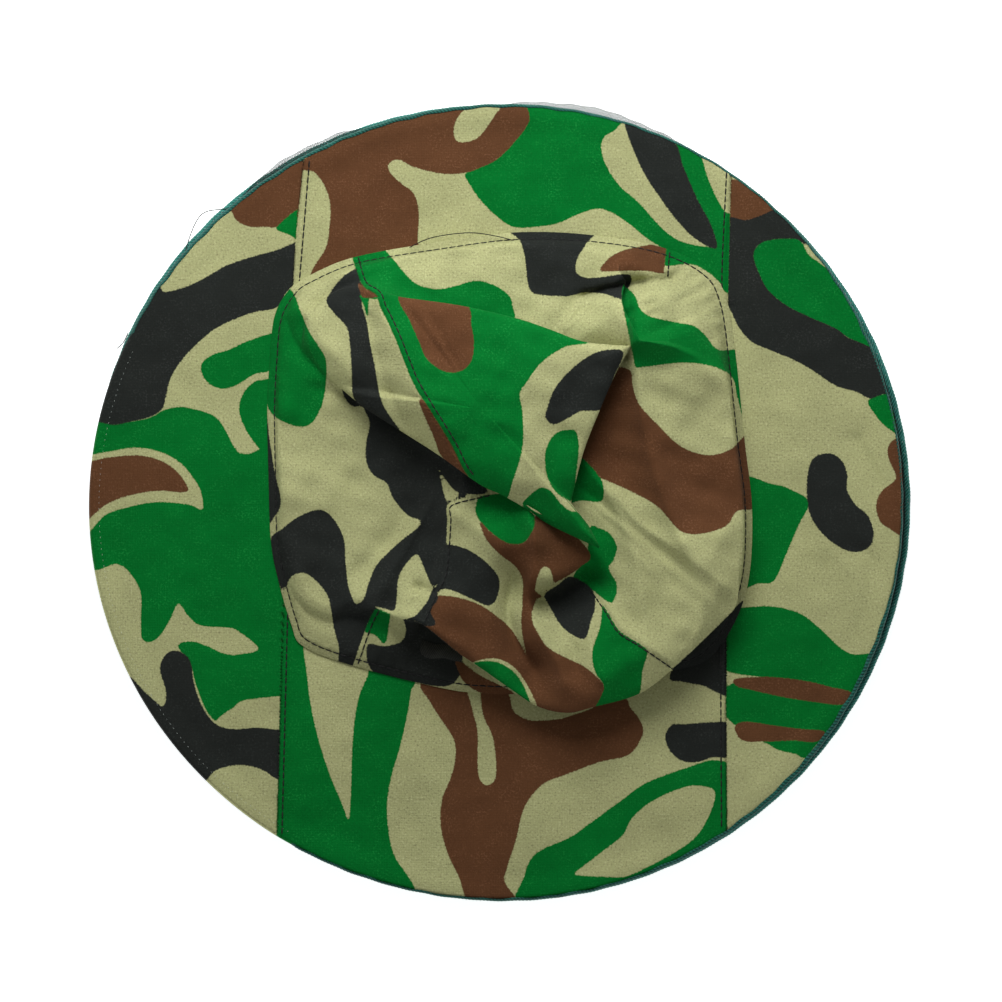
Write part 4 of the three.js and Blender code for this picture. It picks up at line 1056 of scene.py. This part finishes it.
def build_brim(material):
    angles = around_circle(RIM_STEPS)
    base = polar_radius(smooth_line(BASE, closed=True), np.zeros(2), angles) - 5
    edge = hoop_radius(BRIM_HOOP, angles) - 0.45 * keyed(angles, TAPE_SHOW) - 0.05
    part = np.linspace(0, 1, BRIM_ROWS) ** 0.8
    radius = base[:, None] * (1 - part) + edge[:, None] * part
    spots = polar_spots(radius, angles)
    inset = (edge[:, None] - radius).ravel()
    hidden = np.repeat(tape_hidden(angles), BRIM_ROWS)
    held = ease(radius.ravel() - np.repeat(base, BRIM_ROWS), 4, 18) * ease(inset, 3, 14)
    rise = EDGE_RISE * (0.45 * ease(inset, 40, 3.0) + 0.55 * ease(inset, 12, 3.0))
    droop = (0.9 + 1.6 * hidden) * (1 - np.sqrt(np.clip(1 - (1 - np.clip(inset, 0, 1.2) / 1.2) ** 2, 0, 1)))
    z = BRIM_TOP + rise - droop + held * (0.5 * soft_noise(spots, 55, 5) + 0.15 * soft_noise(spots, 14, 6))
    for line, amount, reach in BRIM_WRINKLES:
        z += held * crease_lift(spots, line, amount, reach, reach * 1.6, 0.8)
    for name, line in BRIM_SEAMS.items():
        z += seam_relief(spots, line, BRIM_STITCH[name])
    fields = blank_print(len(spots))
    left = side_of(spots, BRIM_SEAMS["left_back"] + BRIM_SEAMS["left_front"])
    right = side_of(spots, [(96.5, 139.5), (94.8, 60), (94.2, -54), (94.5, -144)])
    front = spots[:, 1] - PANEL_SPLIT
    between = np.maximum(-left, right)
    areas = {"left": left, "right": -right, "back": np.maximum(between, -front),
             "front": np.maximum(between, front)}
    for ink, panel, outline in BRIM_PRINT:
        distance = inside_distance(spots, smooth_line(outline, closed=True))
        lay_ink(fields, ink, np.maximum(distance, np.clip(areas[panel], -INK_REACH, INK_REACH)))
    points = np.column_stack([spots, z])
    faces = grid_faces(RIM_STEPS, BRIM_ROWS, wrap_rows=True)[:, ::-1]
    is_left = left[faces].mean(axis=1) < 0
    is_right = right[faces].mean(axis=1) > 0
    is_back = spots[faces][:, :, 1].mean(axis=1) > PANEL_SPLIT
    choices = {"brim_left_panel": is_left, "brim_right_panel": is_right,
               "brim_back_panel": ~is_left & ~is_right & is_back,
               "brim_front_panel": ~is_left & ~is_right & ~is_back}
    for node, chosen in choices.items():
        used, renumbered = np.unique(faces[chosen], return_inverse=True)
        piece = make_mesh(node.replace("_panel", "_cloth"), points[used], renumbered.reshape(-1, 4),
                          material, {ink: values[used] for ink, values in fields.items()}, spots[used])
        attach(piece, "hat")
        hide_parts(node)
        thicken(piece, CLOTH_THICKNESS)
    return points, faces


# Wrinkles in the brim: line, height, reach
BRIM_WRINKLES = [
    ([(149, 25), (155, 14), (160, 5)], -1.5, 2.2),
    ([(152, 62), (158, 44), (157, 36)], -1.4, 2.6),
    ([(136, -20), (147, -31), (151, -45)], 1.0, 3.5),
    ([(150, -20), (158, -26)], -0.9, 2.5),
    ([(120, -20), (135, -28)], -0.7, 4),
    ([(106, 40), (128, 34), (146, 38)], 0.8, 6),
    ([(104, 66), (120, 60), (132, 62)], 0.7, 5),
    ([(-120, 30), (-135, 10)], 0.5, 6),
    ([(-110, -70), (-130, -60)], 0.5, 5),
]

# ---------------------------------------------------------------- tapes


def ring_piece(name, sections, angles, material, middle=(0.0, 0.0)):
    """A ring from one closed section for each angle: (angle, corner, [radius, height])."""
    count = sections.shape[1]
    points = np.column_stack([polar_spots(sections[..., 0], angles, middle), sections[..., 1].ravel()])
    size = sections[0, :, 0].mean()
    corner_run = np.concatenate([[0], np.cumsum(np.linalg.norm(np.diff(sections[0], axis=0), axis=1))])
    uv = np.column_stack([np.repeat(angles * size, count), np.tile(corner_run, len(angles))])
    faces = grid_faces(len(angles), count, wrap_rows=True, wrap_columns=True)
    return make_mesh(name, points, faces, material, uv=uv)


def tape_sections(angles, outer, top_reach, low_reach, low, high, depth):
    """A folded ribbed tape, open inwards, with a rounded outer edge, as one section for each angle.

    depth is how far in the rounding goes. The ribs run slantwise round the edge."""
    thickness = 0.45
    rib_pitch = 1.5
    ribbed_radius = 168.0
    turn = np.linspace(-math.pi / 2, math.pi / 2, 11)
    sections = []
    for number, angle in enumerate(angles):
        top, bottom = high[number], low
        middle, half = (top + bottom) / 2, (top - bottom) / 2
        rib = 0.1 * np.sin(angle * ribbed_radius * 2 * math.pi / rib_pitch + turn * 2.2)
        wave = 0.12 * math.sin(angle * 83) + 0.1 * math.sin(angle * 51 + 1)
        edge = outer[number] + wave * 0.6
        outside = np.column_stack([edge - depth + (depth + rib) * np.cos(turn),
                                   middle + (half + rib) * np.sin(turn)])
        inside = np.column_stack([edge - depth + (depth - thickness) * np.cos(turn[::-1]),
                                  middle + (half - thickness) * np.sin(turn[::-1])])
        lip = edge - max(top_reach[number], depth + 0.05) + wave
        under = edge - low_reach - wave
        sections.append(np.vstack([[(under, bottom + 0.05)], outside, [(lip, top)], [(lip, top - thickness)],
                                   inside, [(under, bottom + thickness)]]))
    return np.array(sections)


def build_tapes(teal, shade_painted_teal):
    angles = around_circle(TAPE_STEPS)
    show = keyed(angles, TAPE_SHOW)
    hidden = tape_hidden(angles)
    outer = hoop_radius(BRIM_HOOP, angles) - 0.75 * hidden
    high = BRIM_TOP + EDGE_RISE + 0.2 - 1.15 * hidden
    reach = show * (1 - hidden) + 3.6 * hidden
    sections = tape_sections(angles, outer, reach, 6.0, BRIM_TAPE_LOW, high, 0.9)
    # the brim's tape takes the darker copy of the teal tape, with shade painted into its colour
    piece = ring_piece("brim_tape", sections, angles, shade_painted_teal)
    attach(piece, "hat")
    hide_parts("brim_binding")
    outer = hoop_radius(VEIL_HOOP, angles)
    high = np.full_like(outer, VEIL_TAPE_HIGH)
    sections = tape_sections(angles, outer, np.full_like(outer, 5.6), 5.6, 0.0, high, 1.3)
    piece = ring_piece("veil_tape", sections, angles, teal)
    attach(piece, "veil_ring")
    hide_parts("veil_binding")


# ---------------------------------------------------------------- net


def even_drop(run):
    """The heights at which the joint's smooth blend lowers evenly spaced rows evenly."""
    return 0.5 - np.sin(np.arcsin(1 - 2 * run) / 3)


def build_veil_net(net):
    """The veil: net pleated between the hoops. Its heights fall all the way down so that it opens
    evenly as the lower hoop drops."""
    pleats = 12
    per_pleat = 7
    angles = around_circle(NET_STEPS)
    top, bottom = BRIM_TAPE_LOW - 0.1, VEIL_TAPE_HIGH + 0.1
    count = pleats * per_pleat + 1
    run = np.linspace(0, 1, count)
    height = top + (bottom - top) * even_drop(run)
    rim = (hoop_radius(BRIM_HOOP, angles)[:, None] * (1 - run)
           + hoop_radius(VEIL_HOOP, angles)[:, None] * run)
    depth = 16.6 + 1.6 * np.sin(angles * 7) + 1.1 * np.sin(angles * 11 + 2)
    pleat = 0.5 - 0.5 * np.cos(run * pleats * math.pi)
    # one pleat slips out past the brim at the back and at the back left
    slip = keyed(angles, [(0, 0), (58, 0.5), (66, 3.2), (76, 4.8), (84, 3.6), (92, 1.6), (108, 1.4),
                          (114, 4.2), (123, 4.8), (128, 3.2), (133, 0), (270, 0), (279, 2.2), (288, 0)])
    slipped = np.exp(-((run - 2 / pleats) * pleats / 0.8) ** 2)
    gather = np.sin(angles[:, None] * 90 + 3 * np.sin(angles[:, None] * 5)) * np.sin(run * math.pi)
    radius = rim - 2.0 - depth[:, None] * pleat + slip[:, None] * slipped + 0.4 * gather
    points = np.column_stack([polar_spots(radius, angles), np.tile(height, NET_STEPS)])
    uv = np.column_stack([np.repeat(angles * BRIM_HOOP["radius"], count),
                          np.tile(run * VEIL_FLAT_HEIGHT, NET_STEPS)])
    piece = make_mesh("veil_netting", points, grid_faces(NET_STEPS, count, wrap_rows=True), net, uv=uv)
    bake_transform(piece)
    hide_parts("veil_net")


def build_neck(net, band):
    """The neck skirt of net and the gathered hem at the neck."""
    angles = around_circle(NET_STEPS)
    outer = hoop_radius(VEIL_HOOP, angles) - 5.0
    inner = NECK_RADIUS + 1.5
    count = 30
    run = np.linspace(0, 1, count)
    top, bottom = 3.4, 1.2
    radius = outer[:, None] * (1 - run) + inner * run
    gathers = 72
    tight = (0.4 + 0.6 * run) * np.sin(run * math.pi) ** 0.5
    turn = angles[:, None] * gathers + 2 * np.sin(angles[:, None] * 9)
    radius = radius + 1.2 * np.cos(angles[:, None] * gathers) * tight
    z = top + (bottom - top) * even_drop(run) + 0.25 * np.sin(turn) * tight * (run * (1 - run) * 4)
    sweep = angles[:, None] + 0.006 * np.sin(turn) * tight
    shift = np.array(VEIL_HOOP["shift"])
    x = radius * np.cos(sweep) + shift[0] * run
    y = radius * np.sin(sweep) + shift[1] * run
    points = np.column_stack([x.ravel(), y.ravel(), z.ravel()])
    uv = np.column_stack([np.repeat(angles * VEIL_HOOP["radius"], count),
                          np.tile(run * NECK_FLAT_WIDTH, NET_STEPS)])
    piece = make_mesh("neck_netting", points, grid_faces(NET_STEPS, count, wrap_rows=True), net, uv=uv)
    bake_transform(piece)
    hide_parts("neck_skirt")

    turn = np.linspace(0, 2 * math.pi, 16, endpoint=False)
    pucker = 0.25 * np.sin(angles * 120) + 0.15 * np.sin(angles * 77)
    tall = 2.15 - 0.2 * np.abs(np.sin(angles * 60))
    sections = np.stack([NECK_RADIUS + 2.9 * np.cos(turn) + pucker[:, None],
                         2.2 + tall[:, None] * np.sin(turn)], axis=-1)
    hem = ring_piece("neck_casing", sections, angles, band, VEIL_HOOP["shift"])
    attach(hem, "neck")
    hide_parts("neck_hem")


def build_head_band(band):
    """The sweatband inside the crown's base, folded over inwards by the crown that lies on it."""
    middle = (4.0, 16.0)
    angles = around_circle(360)
    base = polar_radius(smooth_line(BASE, closed=True), np.array(middle), angles) - 8.5
    low = BRIM_TOP + 0.1
    pucker = 0.4 * np.sin(angles * 44)
    outline = [(0, 0), (-0.9, 1.4), (-4.5, 2.2), (-9.5, 2.6), (-9.6, 1.7), (-4.8, 1.2), (-1.6, 0.4),
               (-0.9, 0)]
    sections = np.stack([np.column_stack([base + dr + pucker, np.full_like(base, low + dz)])
                         for dr, dz in outline], axis=1)
    piece = ring_piece("sweatband", sections, angles, band, middle)
    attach(piece, "hat")
    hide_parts("head_band")


# ---------------------------------------------------------------- thread


def tube_points(path, radius, sides=6):
    """Points and faces of a thin tube along a path, drawn in to a tip at both ends."""
    path = np.asarray(path, float)
    run = np.gradient(path, axis=0)
    run /= np.linalg.norm(run, axis=1)[:, None]
    side = np.cross(run, [0.0, 0.0, 1.0])
    side /= np.maximum(np.linalg.norm(side, axis=1), 1e-6)[:, None]
    lift = np.cross(side, run)
    turn = np.linspace(0, 2 * math.pi, sides, endpoint=False)
    size = np.full(len(path), radius)
    size[0] = size[-1] = radius * 0.35
    rings = path[:, None, :] + size[:, None, None] * (np.cos(turn)[None, :, None] * side[:, None, :]
                                                      + np.sin(turn)[None, :, None] * lift[:, None, :])
    faces = grid_faces(len(path), sides, wrap_columns=True).tolist()
    last = (len(path) - 1) * sides
    faces.append(list(range(sides)))
    faces.append([last + k for k in range(sides)][::-1])
    return rings.reshape(-1, 3), faces


class ThreadWork:
    """Collects every stitch and loose end into one mesh."""

    def __init__(self):
        self.points = []
        self.faces = []
        self.count = 0

    def add(self, path, radius):
        points, faces = tube_points(path, radius)
        self.points.append(points)
        self.faces += [tuple(corner + self.count for corner in face) for face in faces]
        self.count += len(points)

    def stitches(self, line, length=3.0, gap=0.1, radius=0.3, rise=0.2):
        """Dashes along a line of points that lies on the cloth, each dipping in at its ends."""
        spacing = 0.3
        line = even_steps(line, spacing)
        size = max(3, int(length / spacing))
        step = size + max(1, int(gap / spacing))
        for start in range(0, len(line) - size, step):
            path = line[start:start + size + 1][::2].copy()
            hump = np.sin(np.linspace(0, math.pi, len(path)))
            path[:, 2] += rise * hump - 0.06 * (1 - hump)
            self.add(path, radius)

    def finish(self, name, material, body):
        piece = make_mesh(name, np.vstack(self.points), self.faces, material)
        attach(piece, body)


def drop_on(tree, line, lift):
    """A line seen from above, laid on the surface under it."""
    result = []
    for x, y in line:
        hit, _, _, _ = tree.ray_cast(Vector((x, y, 200.0)), Vector((0, 0, -1)))
        if hit is not None:
            result.append((x, y, hit[2] + lift))
    return np.array(result)


def side_line(points, inset):
    """A line beside another, to its left by inset millimetres."""
    line = even_steps(line_through(points), 1.0)
    run = np.gradient(line, axis=0)
    run /= np.linalg.norm(run, axis=1)[:, None]
    return line + inset * np.column_stack([-run[:, 1], run[:, 0]])


def build_threads(black, white, crown_points, brim_points, brim_faces):
    crown_faces = [tuple(face.vertices) for face in bpy.data.objects["crown"].data.polygons]
    crown_tree = BVHTree.FromPolygons([Vector(p) for p in crown_points], crown_faces)
    brim_tree = BVHTree.FromPolygons([Vector(p) for p in brim_points], brim_faces.tolist())
    work = ThreadWork()
    angles, profile, _ = crown_profiles()
    stitch = profile[:, 2]
    ring = np.column_stack([FLAP_MIDDLE[0] + stitch[:, 0] * np.cos(angles),
                            FLAP_MIDDLE[1] + stitch[:, 0] * np.sin(angles), stitch[:, 1] + 0.1])
    work.stitches(np.vstack([ring, ring[:1]]))
    for name, inset in CROWN_STITCH.items():
        work.stitches(drop_on(crown_tree, side_line(SEAMS[name], inset), 0.1))
    for name, inset in BRIM_STITCH.items():
        work.stitches(drop_on(brim_tree, side_line(BRIM_SEAMS[name], inset), 0.1))
    for points in LOOSE_THREADS:
        work.add(smooth_line(points, per=6), 0.2)
    work.finish("seam_thread", black, "hat")

    # pale stitches through the hem of the brim on the left, and through the lower hoop's tape
    hem = ThreadWork()
    angles = np.radians(np.arange(158, 238, 0.15))
    radius = hoop_radius(BRIM_HOOP, angles) - 4.3
    line = np.column_stack([radius * np.cos(angles), radius * np.sin(angles)])
    hem.stitches(drop_on(brim_tree, line, 0.06), length=0.6, gap=1.5, radius=0.16, rise=0.06)
    hem.finish("hem_thread", white, "hat")
    tape = ThreadWork()
    angles = np.radians(np.arange(0, 360, 0.1))
    radius = hoop_radius(VEIL_HOOP, angles) - 1.15
    line = np.column_stack([radius * np.cos(angles), radius * np.sin(angles),
                            np.full_like(radius, VEIL_TAPE_HIGH + 0.05)])
    tape.stitches(line, length=0.9, gap=3.9, radius=0.22, rise=0.08)
    tape.finish("tape_thread", white, "veil_ring")


# Loose ends of thread that stick out of the seams, as the hat left the sewing machine
LOOSE_THREADS = [
    [(-117, 98, 14), (-113, 108, 13), (-110, 120, 12), (-118, 121, 12.5), (-125, 118.5, 11),
     (-130, 108, 9), (-133, 94, 8)],
    [(-75, 144, 14), (-70, 149, 14), (-66, 147, 14.5)],
    [(-155, 70, 10), (-157, 66, 8), (-160, 63, 6)],
    [(-38, 105, 16.5), (-32, 108, 18), (-25, 110, 18.5), (-12.5, 111.3, 18), (-2, 110, 17), (6, 108, 16.6)],
    [(95, 84, 16), (96.5, 83, 16.5), (98, 83.6, 16)],
]


def dress_node(node, material):
    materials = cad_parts[node].data.materials
    materials.clear()
    materials.append(material)


def dress_frame():
    """Gives the CAD wires and sleeves their steel, and the elastic its braid."""
    steel = wire_material()
    braid = cloth_material("elastic_braid", (0.012, 0.012, 0.012, 1), (0.05, 0.05, 0.05, 1), 1.0)
    for node in ("brim_hoop", "brim_hoop_joiner", "veil_hoop", "veil_hoop_joiner"):
        dress_node(node, steel)
    dress_node("neck_elastic", braid)


build_camera()
build_light()
build_floor()
camo = camo_material()
teal = cloth_material("teal_tape", (0.006, 0.08, 0.062, 1), (0.05, 0.26, 0.215, 1), 1.5)
# a darker copy of the same teal tape for the brim's tape: its colour is painted shade, not wear
shade_painted_teal = cloth_material("teal_tape_painted_shade", (0.003, 0.036, 0.028, 1), (0.018, 0.13, 0.1, 1), 1.5)
band = cloth_material("band_cotton", (0.012, 0.013, 0.011, 1), (0.05, 0.052, 0.045, 1), 0.9)
net = net_material()
black_thread = thread_material("black_thread", (0.003, 0.003, 0.003, 1), (0.02, 0.021, 0.02, 1))
white_thread = thread_material("white_thread", (0.3, 0.34, 0.32, 1), (0.6, 0.66, 0.63, 1))
crown_points = build_crown(camo)
brim_points, brim_faces = build_brim(camo)
build_tapes(teal, shade_painted_teal)
build_veil_net(net)
build_neck(net, band)
build_head_band(band)
build_threads(black_thread, white_thread, crown_points, brim_points, brim_faces)
dress_frame()
